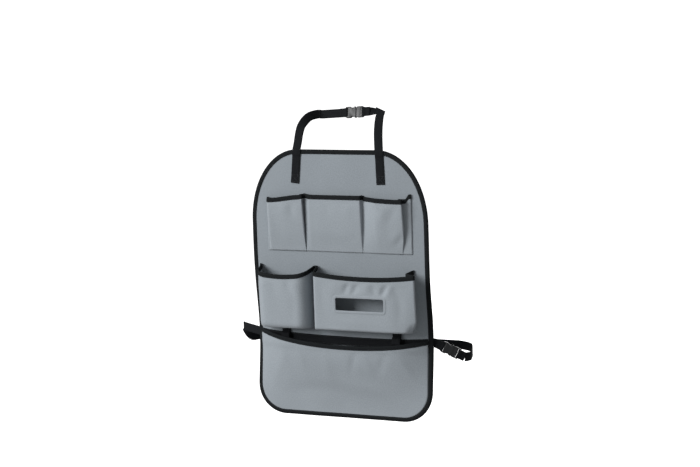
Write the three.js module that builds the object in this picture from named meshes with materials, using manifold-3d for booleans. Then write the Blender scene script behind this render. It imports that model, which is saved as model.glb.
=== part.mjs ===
// Car seat back organizer: a cloth panel that hangs on the back of a car seat, with sewn pockets.
// Units are millimetres and +Z is up. The pockets face -Y, and +X is on the right as they are seen.
// Inside the inner group, z is counted from the panel's lower edge and y from the panel's middle.
import * as THREE from 'three';
import { mergeVertices } from 'three/addons/utils/BufferGeometryUtils.js';
import Module from 'manifold-3d';

const wasm = await Module();
wasm.setup();

// Clearance between two pieces that touch, and between the panel and the tape folded round its edge.
const GAP = 0.3;
const EDGE_GAP = 0.4;

// Back panel.
const PANEL_W = 420;
const PANEL_H = 600;
const PANEL_T = 3;
const TOP_EDGE_W = 190;
const SHOULDER_H = 160;
const FOOT_R = 68;
const FLAT_W = 240;
const WRAP_DEPTH = 17;
const WRAP_SPREAD = 105;

// Cloth, folded binding tape and webbing.
const CLOTH_T = 1.2;
const TAPE_T = 0.8;
const TAPE_W = 10;
const WEB_W = 20;
const WEB_T = 1.5;

// Upper row: a snug pocket, a flat phone pocket and a pleated pocket, sewn from one strip.
const UPPER_TOP_Z = 500;
const UPPER_HEM_Z = 374;
const UPPER_LEFT_X = -171;
const UPPER_SEAM_1_X = -74.5;
const UPPER_SEAM_2_X = 58.5;
const UPPER_RIGHT_X = 173;
const UPPER_DEPTH_LEFT = 16;
const UPPER_DEPTH_PHONE = 9;
const UPPER_DEPTH_RIGHT = 16;
const UPPER_PLEAT_W = 13;
const UPPER_SLOPE_W = 36;
const UPPER_SLOPE_R = 21;

// Lower row: a snug pocket on the left and a box pocket with a slot for drawing tissues.
const LOWER_TOP_Z = 341;
const LOWER_SEAM_Z = 203;
const SNUG_LEFT_X = -190;
const SNUG_RIGHT_X = -61;
const SNUG_FRONT_INSET = 10;
const SNUG_DEPTH = 48;
const SNUG_CORNER_LEFT_R = 20;
const SNUG_CORNER_RIGHT_R = 12;
const SNUG_FLOOR_R = 10;
const SNUG_DROP = 10;
const SNUG_SAG = 5;
const BOX_LEFT_X = -54;
const BOX_RIGHT_X = 172;
const BOX_FRONT_LEFT_X = -44;
const BOX_FRONT_RIGHT_X = 188;
const BOX_DEPTH = 46;
const BOX_CORNER_R = 6;
const BOX_FLOOR_R = 6;
const BOX_DROP = 6;
const BOX_SAG = 5;
const SLOT_W = 114;
const SLOT_H = 29;
const SLOT_CENTRE_X = 64;
const SLOT_BOTTOM_Z = 252;

// Wide pocket along the bottom, for maps and folders.
const MAP_TOP_Z = 188;
const MAP_SAG = 19;
const MAP_DEPTH = 22;

// Shoulder straps and the posts that they go round.
const STRAP_LEFT_FOOT_X = 101.5;
const STRAP_LEFT_TOP_X = 94.5;
const STRAP_RIGHT_FOOT_X = 103;
const STRAP_RIGHT_TOP_X = 100.5;
const STRAP_SEWN_L = 75;
const POST_HALF_SPAN = 64;
const POST_R = 5.5;
const POST_BACK = 66;
const POST_RISE = 75;
const RUN_TILT = 3.5;
const RUN_LEAN = 18;
const FOLD_OUT = 11;
const FOLD_BACK = 3.5;
const FOLD_UP = 7;
const FOLD_APPROACH = [-0.3, 0.73, 0.61];

// Belt round the seat.
const BELT_Z = 183;
const BELT_SEWN_L = 32;
const BELT_LOW_Z = 152;
const BELT_RIGHT_DROP = 6;
const SEAT_HALF_W = 277;
const SEAT_DEPTH = 130;
const SEAT_CORNER_R = 60;
const SEAT_REAR_R = 24;
const BELT_BUCKLE_TURN = 30;
const BELT_BUCKLE_FALL = 28;
const BELT_SHORT_L = 18;
const BELT_SHORT_SLOPE = 0.5;

// Side release buckles.
const BUCKLE_W = 24.5;
const BUCKLE_T = 8;
const BUCKLE_CORNER_R = 3;
const SOCKET_L = 26;
const SOCKET_WALL = 1.4;
const BAR_W = 3;
const BAR_T = 4;
const WEB_SLOT_W = 3.6;
const NOTCH_R = 5;
const NOTCH_FROM_END = 9;
const NOTCH_DEPTH = 3.25;
const PLUG_BASE_L = 17;
const PLUG_BASE_T = 6.5;
const PRONG_L = 17;
const PRONG_T = 3.4;
const TONGUE_L = 13;
const TONGUE_W = 4;
const TONGUE_R = 1.2;
const TOP_BUCKLE_X = -6;
const TAIL_L = 14;
const SHORT_TAIL_L = 12;

// Hanging loops under the lower row.
const LOOP_INSET = 77;
const LOOP_TOP_Z = 199;
const LOOP_L = 26;
const LOOP_OUT = 9;
const LOOP_SEWN_L = 7;

const CLOTH_GREY = 0x8f979e;
const TAPE_BLACK = 0x1b1e22;
const WEB_BLACK = 0x17191c;
const PLASTIC_BLACK = 0x202327;
const cloth = () => new THREE.MeshStandardMaterial({ color: CLOTH_GREY, roughness: 0.9, metalness: 0 });
const tape = () => new THREE.MeshStandardMaterial({ color: TAPE_BLACK, roughness: 0.85, metalness: 0 });
const webbing = () => new THREE.MeshStandardMaterial({ color: WEB_BLACK, roughness: 0.8, metalness: 0 });
const plastic = () => new THREE.MeshStandardMaterial({ color: PLASTIC_BLACK, roughness: 0.35, metalness: 0 });

// Depths of the layers, counted from the panel's middle surface.
const PANEL_FACE = PANEL_T / 2;
const BINDING_FACE = PANEL_FACE + EDGE_GAP + TAPE_T;
const CLOTH_ON_PANEL = PANEL_FACE + GAP + CLOTH_T / 2;
const TAPE_HALF = CLOTH_T / 2 + GAP + TAPE_T;
const MOUTH_ON_PANEL = PANEL_FACE + GAP + TAPE_HALF;
const WEB_ON_PANEL = PANEL_FACE + GAP + WEB_T / 2;
const WEB_ON_BINDING = BINDING_FACE + GAP + WEB_T / 2;

const lerp = THREE.MathUtils.lerp;
const smooth = (t) => THREE.MathUtils.smoothstep(t, 0, 1);
const v3 = (x = 0, y = 0, z = 0) => new THREE.Vector3(x, y, z);
const v2 = (x = 0, y = 0) => new THREE.Vector2(x, y);
const radians = THREE.MathUtils.degToRad;

// Points closer than this are one point.
const WELD = 1e-4;

// The panel lies flat in the middle, and the belt pulls its sides back round the seat.
function drape(x, z) {
  const half = FLAT_W / 2;
  const out = Math.max(0, Math.abs(x) - half) / (PANEL_W / 2 - half);
  const pull = Math.exp(-(((z - BELT_Z) / WRAP_SPREAD) ** 2));
  return WRAP_DEPTH * out * out * pull;
}

// Where a layer lies at (x, z), when it is a given depth behind the panel's middle surface.
const SLOPE_STEP = 0.5;
function layer(x, z, depth) {
  const across = (drape(x + SLOPE_STEP, z) - drape(x - SLOPE_STEP, z)) / (2 * SLOPE_STEP);
  const up = (drape(x, z + SLOPE_STEP) - drape(x, z - SLOPE_STEP)) / (2 * SLOPE_STEP);
  return drape(x, z) + depth * Math.hypot(1, across, up);
}

// Closed solid of a sheet: rows of points on its middle surface, moved both ways along their normals.
function sheet(rows, thickness, isHole = () => false) {
  const at = (i, j) => rows[i][j];
  const count = rows[0].length;
  const moved = (offset) => rows.map((row, i) => row.map((p, j) => {
    const du = at(i, Math.min(j + 1, count - 1)).clone().sub(at(i, Math.max(j - 1, 0)));
    const dv = at(Math.min(i + 1, rows.length - 1), j).clone().sub(at(Math.max(i - 1, 0), j));
    return p.clone().addScaledVector(dv.cross(du).normalize(), offset);
  }));
  return shell(moved(thickness / 2), moved(-thickness / 2), isHole);
}

// Closed solid between a front and a back grid of points. Cells that are a hole are left out.
function shell(frontRows, backRows, isHole = () => false) {
  const count = frontRows[0].length;
  const front = frontRows.flat();
  const points = front.concat(backRows.flat());
  const shift = front.length;
  const faces = [];
  const edges = new Map();
  const id = (i, j) => i * count + j;
  const keep = (a, b) => edges.set(`${a}_${b}`, [a, b]);
  for (let i = 0; i < frontRows.length - 1; i++) {
    for (let j = 0; j < count - 1; j++) {
      if (isHole(i, j)) continue;
      const [a, b, c, d] = [id(i, j), id(i + 1, j), id(i + 1, j + 1), id(i, j + 1)];
      faces.push([a, b, c], [a, c, d], [a + shift, c + shift, b + shift], [a + shift, d + shift, c + shift]);
      keep(a, b);
      keep(b, c);
      keep(c, d);
      keep(d, a);
    }
  }
  for (const [a, b] of edges.values()) {
    if (edges.has(`${b}_${a}`)) continue;
    faces.push([a, a + shift, b + shift], [a, b + shift, b]);
  }
  return solidOf(points, faces);
}

// Geometry of a closed body, turned so that its faces point out.
function solidOf(points, faces) {
  let volume = 0;
  for (const [a, b, c] of faces) volume += points[a].dot(points[b].clone().cross(points[c]));
  const order = volume < 0 ? faces.map(([a, b, c]) => [a, c, b]) : faces;
  const geometry = new THREE.BufferGeometry();
  geometry.setAttribute('position', new THREE.Float32BufferAttribute(points.flatMap((p) => p.toArray()), 3));
  geometry.setIndex(order.flat());
  const used = mergeVertices(geometry.toNonIndexed(), WELD);
  used.computeVertexNormals();
  return used;
}

// Closed solid of a section carried from station to station. Each station is the section's ring.
function loft(rings, closed = false) {
  const n = rings[0].length;
  const faces = [];
  const last = closed ? rings.length : rings.length - 1;
  for (let i = 0; i < last; i++) {
    const next = (i + 1) % rings.length;
    for (let k = 0; k < n; k++) {
      const [a, b] = [i * n + k, i * n + ((k + 1) % n)];
      const [c, d] = [next * n + ((k + 1) % n), next * n + k];
      faces.push([a, b, c], [a, c, d]);
    }
  }
  if (!closed) {
    const end = (rings.length - 1) * n;
    const cap = THREE.ShapeUtils.triangulateShape(rings[0].shape2d, []);
    for (const [a, b, c] of cap) {
      faces.push([a, c, b], [end + a, end + b, end + c]);
    }
  }
  return solidOf(rings.flat(), faces);
}

// Webbing: a flat rectangular section. A station holds the middle and the direction of the width w.
// In a fold it holds the whole way from the middle to one edge, and the way that the webbing faces.
function ribbon(stations) {
  const shape2d = [[-1, -1], [1, -1], [1, 1], [-1, 1]].map(([s, t]) => v2(s, t));
  const rings = stations.map(({ p, w, edge, face }, i) => {
    const before = stations[Math.max(i - 1, 0)].p;
    const after = stations[Math.min(i + 1, stations.length - 1)].p;
    const along = after.clone().sub(before).normalize();
    const half = edge ?? w.clone().addScaledVector(along, -w.dot(along)).setLength(WEB_W / 2);
    const out = face ?? half.clone().normalize().cross(along);
    const ring = shape2d.map((c) => p.clone()
      .addScaledVector(half, c.x)
      .addScaledVector(out, (c.y * WEB_T) / 2));
    ring.shape2d = shape2d;
    return ring;
  });
  return loft(rings);
}

// Webbing turned over a diagonal crease: it arrives along d with its width along w, and leaves along -w
// behind itself.
const FOLD_STEPS = 4;
const FOLD_EASE = 0.6;
function diagonalFold(centre, d, w) {
  const n = w.clone().cross(d);
  const out = w.clone().add(d).normalize();
  const reach = WEB_W / 2 + FOLD_EASE;
  const apart = WEB_T + GAP;
  const edge = w.clone().sub(d).multiplyScalar(WEB_W / 2);
  const axis = centre.clone().addScaledVector(n, -apart / 2);
  const arrive = centre.clone().addScaledVector(d, -reach);
  const stations = [{ p: arrive, edge: w.clone().setLength(WEB_W / 2), face: n }];
  for (let k = 0; k <= FOLD_STEPS; k++) {
    const a = (Math.PI * k) / FOLD_STEPS;
    const face = n.clone().multiplyScalar(Math.cos(a)).addScaledVector(out, Math.sin(a));
    stations.push({ p: axis.clone().addScaledVector(face, apart / 2), edge, face });
  }
  const leave = centre.clone().addScaledVector(n, -apart).addScaledVector(w, -reach);
  stations.push({ p: leave, edge: d.clone().setLength(-WEB_W / 2), face: n.clone().negate() });
  return stations;
}

// Folded tape over the upper edge of a cloth. It follows the cloth's middle at that edge and the row below.
function mouthTape(path, below) {
  const outer = TAPE_HALF;
  const inner = CLOTH_T / 2 + GAP;
  const top = GAP + TAPE_T;
  const section = [
    [outer, top - TAPE_W], [outer, top], [-outer, top], [-outer, top - TAPE_W],
    [-inner, top - TAPE_W], [-inner, GAP], [inner, GAP], [inner, top - TAPE_W],
  ].map(([s, t]) => v2(s, t));
  const rings = path.map((p, i) => {
    const before = path[Math.max(i - 1, 0)];
    const after = path[Math.min(i + 1, path.length - 1)];
    const up = p.clone().sub(below[i]).normalize();
    const face = v3(after.y - before.y, before.x - after.x, 0).normalize();
    const ring = section.map((c) => p.clone().addScaledVector(face, c.x).addScaledVector(up, c.y));
    ring.shape2d = section;
    return ring;
  });
  return loft(rings);
}

// A plan line with its corners rounded. Each corner is [x, y, radius].
function roundedLine(corners, steps) {
  const out = [];
  corners.forEach(([x, y, radius = 0], i) => {
    const here = v2(x, y);
    if (!radius) {
      out.push(here);
      return;
    }
    const from = v2(...corners[i - 1]).sub(here).normalize();
    const to = v2(...corners[i + 1]).sub(here).normalize();
    const half = Math.acos(THREE.MathUtils.clamp(from.dot(to), -1, 1)) / 2;
    const centre = from.clone().add(to).normalize().multiplyScalar(radius / Math.sin(half)).add(here);
    const start = from.multiplyScalar(radius / Math.tan(half)).add(here).sub(centre);
    const end = to.multiplyScalar(radius / Math.tan(half)).add(here).sub(centre);
    const turn = Math.atan2(start.cross(end), start.dot(end));
    for (let k = 0; k <= steps; k++) {
      out.push(start.clone().rotateAround(v2(), (turn * k) / steps).add(centre));
    }
  });
  return out;
}

// Adds points on a long straight stretch, so that it can bow or hold a slot's edge.
const STOP_MARGIN = 0.02;
function withStops(line, stops) {
  const out = [];
  line.forEach((p, i) => {
    out.push(p);
    const next = line[i + 1];
    if (!next) return;
    for (const x of stops) {
      const t = (x - p.x) / (next.x - p.x);
      if (t > STOP_MARGIN && t < 1 - STOP_MARGIN) out.push(p.clone().lerp(next, t));
    }
  });
  return out;
}

// Right half of the panel's outline from its foot to its top, moved inwards by an inset.
const FOOT_STEPS = 8;
const SHOULDER_STEPS = 12;
const SIDE_STOPS = 16;
function halfOutline(inset) {
  const half = PANEL_W / 2;
  const reach = half - TOP_EDGE_W / 2;
  const points = [];
  for (let k = 0; k <= FOOT_STEPS; k++) {
    const a = (Math.PI / 2) * (k / FOOT_STEPS);
    const r = FOOT_R - inset;
    points.push([half - FOOT_R + r * Math.sin(a), FOOT_R - r * Math.cos(a)]);
  }
  for (let k = 1; k < SIDE_STOPS; k++) {
    points.push([half - inset, lerp(FOOT_R, PANEL_H - SHOULDER_H, k / SIDE_STOPS)]);
  }
  for (let k = 0; k <= SHOULDER_STEPS; k++) {
    const a = (Math.PI / 2) * (k / SHOULDER_STEPS);
    const normal = new THREE.Vector2(Math.cos(a) * SHOULDER_H, Math.sin(a) * reach).normalize();
    const x = half - reach + reach * Math.cos(a) - inset * normal.x;
    points.push([x, PANEL_H - SHOULDER_H + SHOULDER_H * Math.sin(a) - inset * normal.y]);
  }
  return points;
}

// Columns of the panel beside its flat middle, as shares of the way out to its edge.
const SIDE_COLUMNS = [1, 0.9, 0.72, 0.5, 0.25, 0];
const LEAST_SIDE = 1;
function backPanel() {
  const grid = (depth) => halfOutline(TAPE_T + GAP).map(([half, z]) => {
    const flat = Math.min(FLAT_W / 2, half - LEAST_SIDE);
    const right = SIDE_COLUMNS.map((t) => lerp(flat, half, t));
    const xs = right.map((x) => -x).concat(right.slice().reverse());
    return xs.map((x) => v3(x, layer(x, z, depth), z));
  });
  return shell(grid(-PANEL_FACE), grid(PANEL_FACE));
}

function edgeBinding() {
  const outer = halfOutline(0);
  const lips = { outside: 0, under: TAPE_T, lip: TAPE_W };
  const inset = Object.fromEntries(Object.entries(lips).map(([key, d]) => [key, halfOutline(d)]));
  const inner = PANEL_FACE + EDGE_GAP;
  const section = [
    ['lip', -BINDING_FACE], ['outside', -BINDING_FACE], ['outside', BINDING_FACE], ['lip', BINDING_FACE],
    ['lip', inner], ['under', inner], ['under', -inner], ['lip', -inner],
  ];
  const ringAt = (i, side) => section.map(([key, depth]) => {
    const [x, z] = inset[key][i];
    return v3(side * x, layer(x, z, depth), z);
  });
  const right = outer.map((_, i) => ringAt(i, 1));
  const left = outer.map((_, i) => ringAt(i, -1)).reverse();
  return loft(right.concat(left), true);
}

// Grid of a pocket. The plan line is [x, y] with y = 0 on the panel, and rows run from mouth to seam.
// Each row has a height, the share of the full depth, and how far the mouth's sag and drop still reach.
const SEAM_MARGIN = 1.5;
const ON_PANEL = 0.001;
function pocketGrid({ plan, depth, seams, front, rows, drop, sag }) {
  const [seamL, seamR] = seams;
  const [frontL, frontR] = front;
  const margin = SEAM_MARGIN;
  const scale = (seamR - seamL - 2 * margin) / (frontR - frontL);
  const centre = (frontL + frontR) / 2;
  return rows.map(({ z, share, hang, base }) => plan.map(({ x, y }) => {
    const out = Math.min(1, -y / depth);
    let foot = x;
    if (x < centre && x > seamL - margin) {
      foot = seamL + margin * out + Math.max(0, x - frontL) * scale;
    } else if (x >= centre && x < Math.max(seamR, frontR) + margin) {
      foot = seamR - margin * out - Math.max(0, frontR - x) * scale;
    }
    if (out < ON_PANEL) foot = x;
    const across = lerp(foot, x, share);
    const bow = 1 - ((x - centre) / ((frontR - frontL) / 2)) ** 2;
    const height = z - hang * (drop * out + sag * Math.max(0, bow));
    return v3(across, layer(across, height, -base) + y * share, height);
  }));
}

// Rows that every pocket has at its mouth: the cloth stands straight inside the folded tape.
const MOUTH_H = TAPE_W + 2;

// Rows of a pocket between its mouth and its lower seam, for a front that leans back to the panel.
function taperRows({ top, bottom, steps, footShare, curve }) {
  const out = [
    { z: top, share: 1, hang: 1, base: MOUTH_ON_PANEL },
    { z: top - MOUTH_H, share: 1, hang: 1, base: MOUTH_ON_PANEL },
  ];
  for (let k = 1; k <= steps; k++) {
    const t = k / steps;
    const share = lerp(1, footShare, t ** curve);
    const base = lerp(MOUTH_ON_PANEL, CLOTH_ON_PANEL, t);
    out.push({ z: lerp(top - MOUTH_H, bottom, t), share, hang: 1 - t, base });
  }
  return out;
}

const BAG_TURN_SHARE = 0.2;
const BAG_FLOOR_RISE = 3;
// Rows of a pocket whose front stands off the panel and turns back to it along the bottom.
function bagRows({ top, bottom, turn, steps, turnSteps }) {
  const low = bottom + BAG_FLOOR_RISE;
  const out = taperRows({ top, bottom: low + turn, steps, footShare: 1, curve: 1 });
  for (let k = 1; k <= turnSteps; k++) {
    const a = (Math.PI / 2) * (k / turnSteps);
    const share = 1 - BAG_TURN_SHARE * (1 - Math.cos(a));
    out.push({ z: low + turn * (1 - Math.sin(a)), share, hang: 0, base: CLOTH_ON_PANEL });
  }
  for (let k = 1; k <= turnSteps; k++) {
    const t = k / turnSteps;
    const share = (1 - BAG_TURN_SHARE) * (1 - t);
    out.push({ z: lerp(low, bottom, t), share, hang: 0, base: CLOTH_ON_PANEL });
  }
  return out;
}

// The upper row is one strip, so its plan line holds all three pockets and the seams between them.
const FLANGE = 4;
const SHARED_FLANGE = 3;
const SIDE_LEAN = 3;
const SEAM_R = 2.6;
const CORNER_STEPS = 3;
function upperPlan() {
  const edge = UPPER_RIGHT_X - UPPER_PLEAT_W;
  return roundedLine([
    [UPPER_LEFT_X, 0],
    [UPPER_LEFT_X + FLANGE, 0, SEAM_R],
    [UPPER_LEFT_X + FLANGE + SIDE_LEAN, -UPPER_DEPTH_LEFT, 2 * SEAM_R],
    [UPPER_SEAM_1_X - FLANGE - SIDE_LEAN, -UPPER_DEPTH_LEFT, 2 * SEAM_R],
    [UPPER_SEAM_1_X - FLANGE / 2, 0, SEAM_R],
    [UPPER_SEAM_1_X + FLANGE, 0, SEAM_R],
    [UPPER_SEAM_1_X + FLANGE + 2 * SIDE_LEAN, -UPPER_DEPTH_PHONE, SEAM_R],
    [UPPER_SEAM_2_X - FLANGE - 2 * SIDE_LEAN, -UPPER_DEPTH_PHONE, SEAM_R],
    [UPPER_SEAM_2_X - FLANGE, 0, SEAM_R],
    [UPPER_SEAM_2_X + FLANGE, 0, SEAM_R],
    [UPPER_SEAM_2_X + UPPER_SLOPE_W, -UPPER_DEPTH_RIGHT, UPPER_SLOPE_R],
    [edge - SIDE_LEAN, -UPPER_DEPTH_RIGHT, 2 * SEAM_R],
    [edge, 0, SEAM_R],
    [UPPER_RIGHT_X, 0],
  ], CORNER_STEPS);
}
const UPPER_ROW = { top: UPPER_TOP_Z, bottom: UPPER_HEM_Z, steps: 5, footShare: 0.05, curve: 1.3 };
function upperGrid() {
  return taperRows(UPPER_ROW).map(({ z, share, base }) => upperPlan().map((p) => (
    v3(p.x, layer(p.x, z, -base) + p.y * share, z))));
}

const SNUG_COLUMNS = 6;
function snugGrid() {
  const front = [SNUG_LEFT_X + SNUG_FRONT_INSET, SNUG_RIGHT_X - SNUG_FRONT_INSET];
  const plan = roundedLine([
    [SNUG_LEFT_X - FLANGE, 0],
    [SNUG_LEFT_X, 0, SEAM_R],
    [front[0], -SNUG_DEPTH, SNUG_CORNER_LEFT_R],
    [front[1], -SNUG_DEPTH, SNUG_CORNER_RIGHT_R],
    [SNUG_RIGHT_X, 0, SEAM_R],
    [SNUG_RIGHT_X + SHARED_FLANGE, 0],
  ], CORNER_STEPS + 1);
  const stops = [];
  for (let k = 1; k < SNUG_COLUMNS; k++) stops.push(lerp(front[0], front[1], k / SNUG_COLUMNS));
  return pocketGrid({
    plan: withStops(plan, stops),
    depth: SNUG_DEPTH, seams: [SNUG_LEFT_X, SNUG_RIGHT_X], front, drop: SNUG_DROP, sag: SNUG_SAG,
    rows: bagRows({ top: LOWER_TOP_Z, bottom: LOWER_SEAM_Z, turn: SNUG_FLOOR_R, steps: 4, turnSteps: 3 }),
  });
}

const SLOT_X = [SLOT_CENTRE_X - SLOT_W / 2, SLOT_CENTRE_X + SLOT_W / 2];
function boxPlan() {
  const plan = roundedLine([
    [BOX_LEFT_X - SHARED_FLANGE, 0],
    [BOX_LEFT_X, 0, SEAM_R],
    [BOX_FRONT_LEFT_X, -BOX_DEPTH, BOX_CORNER_R],
    [BOX_FRONT_RIGHT_X, -BOX_DEPTH, BOX_CORNER_R],
    [BOX_RIGHT_X, 0, SEAM_R],
    [BOX_RIGHT_X + FLANGE, 0],
  ], CORNER_STEPS);
  const third = (from, to) => [lerp(from, to, 1 / 3), lerp(from, to, 2 / 3)];
  const stops = [SLOT_X[0], ...third(...SLOT_X), SLOT_X[1], ...third(SLOT_X[1], BOX_FRONT_RIGHT_X)];
  return withStops(plan, stops);
}
// The rows between the mouth and the floor's turn are moved to the slot's two edges and below it.
const SLOT_ROW = 2;
function boxRows() {
  const body = 4;
  const whole = { top: LOWER_TOP_Z, bottom: LOWER_SEAM_Z };
  const rows = bagRows({ ...whole, turn: BOX_FLOOR_R, steps: body, turnSteps: 3 });
  const high = rows[SLOT_ROW - 1].z;
  const low = rows[SLOT_ROW - 1 + body].z;
  const heights = [SLOT_BOTTOM_Z + SLOT_H, SLOT_BOTTOM_Z, (SLOT_BOTTOM_Z + low) / 2, low];
  heights.forEach((z, k) => {
    const base = lerp(MOUTH_ON_PANEL, CLOTH_ON_PANEL, (high - z) / (high - low));
    rows[SLOT_ROW + k] = { z, share: 1, hang: 0, base };
  });
  return rows;
}
function boxGrid() {
  return pocketGrid({
    plan: boxPlan(), depth: BOX_DEPTH, seams: [BOX_LEFT_X, BOX_RIGHT_X],
    front: [BOX_FRONT_LEFT_X, BOX_FRONT_RIGHT_X], drop: BOX_DROP, sag: BOX_SAG, rows: boxRows(),
  });
}
function tissuePocket() {
  const plan = boxPlan();
  const first = plan.findIndex((p) => Math.abs(p.x - SLOT_X[0]) < GAP && p.y < 0);
  const last = plan.findIndex((p) => Math.abs(p.x - SLOT_X[1]) < GAP && p.y < 0);
  return sheet(boxGrid(), CLOTH_T, (i, j) => i === SLOT_ROW && j >= first && j < last);
}

// The map pocket's front is caught in the edge binding, so its outline lies just inside that tape.
const MAP_COLUMNS = 20;
function mapGrid() {
  const edge = halfOutline(TAPE_W + GAP).filter(([, z]) => z < MAP_TOP_Z - MOUTH_H - TAPE_W);
  const side = PANEL_W / 2 - TAPE_W - GAP;
  const rows = edge.concat([[side, MAP_TOP_Z - MOUTH_H], [side, MAP_TOP_Z]]);
  const foot = rows[0][1];
  return rows.map(([half, z]) => {
    const up = Math.min(1, (z - foot) / (MAP_TOP_Z - MOUTH_H - foot));
    const line = [];
    for (let j = 0; j <= MAP_COLUMNS; j++) {
      const s = (2 * j) / MAP_COLUMNS - 1;
      const x = s * half;
      const middle = 1 - s * s;
      const bulge = 1 - Math.abs(s) ** 3;
      const height = z - MAP_SAG * middle * up * up;
      const base = lerp(CLOTH_ON_PANEL, MOUTH_ON_PANEL, smooth(up));
      line.push(v3(x, layer(x, height, -base) - MAP_DEPTH * bulge * smooth(up), height));
    }
    return line;
  });
}

// Webbing that goes round a bar and is sewn back to itself, in the bar's own plan.
// u runs from the strap towards the bar, and the bar spans u = 0 to its width.
const PARTED_L = 9;
const PARTED_BEND_L = 4.2;
const PARTED_BEND = 1.2;
const PARTED_CUT = 0.75;
const LAYER_REST = (WEB_T + GAP) / 2;
function barLoop(tail) {
  const lift = BAR_T / 2 + GAP + WEB_T / 2;
  const far = BAR_W + GAP + WEB_T / 2;
  return [
    [-PARTED_L, -LAYER_REST], [-PARTED_BEND_L, -PARTED_BEND], [0, -lift],
    [far - PARTED_CUT, -lift], [far, PARTED_CUT - lift], [far, lift - PARTED_CUT], [far - PARTED_CUT, lift],
    [0, lift], [-PARTED_BEND_L, PARTED_BEND], [-PARTED_L, LAYER_REST], [-tail, LAYER_REST],
  ];
}

// Plan parts of a side release buckle. x runs along the webbing and y across it.
const ARC_STEPS = 8;
const CORNER_ARC_STEPS = 3;
function prism(outline, thickness, holes = []) {
  const shape = outline instanceof THREE.Path ? outline : new THREE.Shape(outline);
  for (const hole of holes) shape.holes.push(new THREE.Path(hole));
  return new THREE.ExtrudeGeometry(shape, { depth: thickness, bevelEnabled: false, curveSegments: ARC_STEPS })
    .translate(0, 0, -thickness / 2);
}
function toManifold(geometry) {
  const bare = geometry.clone();
  bare.deleteAttribute('normal');
  bare.deleteAttribute('uv');
  const merged = mergeVertices(bare, WELD);
  return new wasm.Manifold(new wasm.Mesh({
    numProp: 3,
    vertProperties: new Float32Array(merged.attributes.position.array),
    triVerts: new Uint32Array(merged.index.array),
  }));
}
function fromManifold(body) {
  const mesh = body.getMesh();
  const geometry = new THREE.BufferGeometry();
  geometry.setAttribute('position', new THREE.BufferAttribute(new Float32Array(mesh.vertProperties), 3));
  geometry.setIndex(new THREE.BufferAttribute(new Uint32Array(mesh.triVerts), 1));
  geometry.computeVertexNormals();
  return geometry;
}
const rect = (x0, x1, y0, y1) => [[x0, y0], [x1, y0], [x1, y1], [x0, y1]].map(([x, y]) => v2(x, y));
function roundedRect(x0, x1, half, r) {
  const start = [(x0 + x1) / 2, -half];
  const corners = [start, [x1, -half, r], [x1, half, r], [x0, half, r], [x0, -half, r], start];
  return roundedLine(corners, CORNER_ARC_STEPS).slice(0, -1);
}

// The bar end of both halves: a slot for the webbing leaves a bar at the very end.
const BUCKLE_HALF_W = BUCKLE_W / 2;
const WEB_SLOT_HALF_W = WEB_W / 2 + GAP;
const CUT_PAST = 1;
const barSlot = () => rect(BAR_W, BAR_W + WEB_SLOT_W, -WEB_SLOT_HALF_W, WEB_SLOT_HALF_W);
function thinBar(body) {
  const cutter = prism(rect(-CUT_PAST, BAR_W, -WEB_SLOT_HALF_W, WEB_SLOT_HALF_W), BUCKLE_T);
  const over = cutter.clone().translate(0, 0, (BAR_T + BUCKLE_T) / 2);
  const under = cutter.clone().translate(0, 0, -(BAR_T + BUCKLE_T) / 2);
  return body.subtract(toManifold(over)).subtract(toManifold(under));
}

function socketBody() {
  const shell = prism(roundedRect(0, SOCKET_L, BUCKLE_HALF_W, BUCKLE_CORNER_R), BUCKLE_T, [barSlot()]);
  const cavityHalf = BUCKLE_HALF_W - SOCKET_WALL;
  const cavityStart = BAR_W + WEB_SLOT_W + SOCKET_WALL;
  const hollow = rect(cavityStart, SOCKET_L + CUT_PAST, -cavityHalf, cavityHalf);
  const cavity = prism(hollow, BUCKLE_T - 2 * SOCKET_WALL);
  let body = toManifold(shell).subtract(toManifold(cavity));
  for (const side of [-1, 1]) {
    const away = BUCKLE_HALF_W + NOTCH_R - NOTCH_DEPTH;
    const notch = new THREE.Shape().absarc(SOCKET_L - NOTCH_FROM_END, side * away, NOTCH_R, 0, Math.PI * 2);
    body = body.subtract(toManifold(prism(notch, BUCKLE_T + 2 * CUT_PAST)));
  }
  return fromManifold(thinBar(body));
}

// Half outline of a spring prong: how far each point lies behind its tip and inside the socket's wall.
const PRONG_OUTLINE = [
  [PRONG_L + CUT_PAST, 4.2], [PRONG_L + CUT_PAST, 1.2], [10, 1.6], [9, 0], [3, 0],
  [0, 2.5], [0, 4.4], [3, 4.8], [10, 4.2],
];
// The plug lies with its bar at x = 0 and its prongs towards -x once it is turned round.
function plugBody() {
  const base = prism(roundedRect(0, PLUG_BASE_L, BUCKLE_HALF_W, BUCKLE_CORNER_R), PLUG_BASE_T, [barSlot()]);
  const tip = PLUG_BASE_L + PRONG_L;
  const wall = BUCKLE_HALF_W - SOCKET_WALL - GAP;
  const tongue = roundedRect(PLUG_BASE_L - CUT_PAST, PLUG_BASE_L + TONGUE_L, TONGUE_W / 2, TONGUE_R);
  let body = toManifold(base).add(toManifold(prism(tongue, PRONG_T)));
  for (const side of [-1, 1]) {
    const prong = PRONG_OUTLINE.map(([back, inside]) => v2(tip - back, side * (wall - inside)));
    if (side < 0) prong.reverse();
    body = body.add(toManifold(prism(prong, PRONG_T)));
  }
  return fromManifold(thinBar(body));
}

// A frame for a buckle: x along the webbing, y across it, z out of its face.
function frameAt(origin, along, across) {
  const x = along.clone().normalize();
  const y = across.clone().addScaledVector(x, -across.dot(x)).normalize();
  return new THREE.Matrix4().makeBasis(x, y, x.clone().cross(y)).setPosition(origin);
}
const inFrame = (frame, u, n) => v3(u, 0, n).applyMatrix4(frame);

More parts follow.
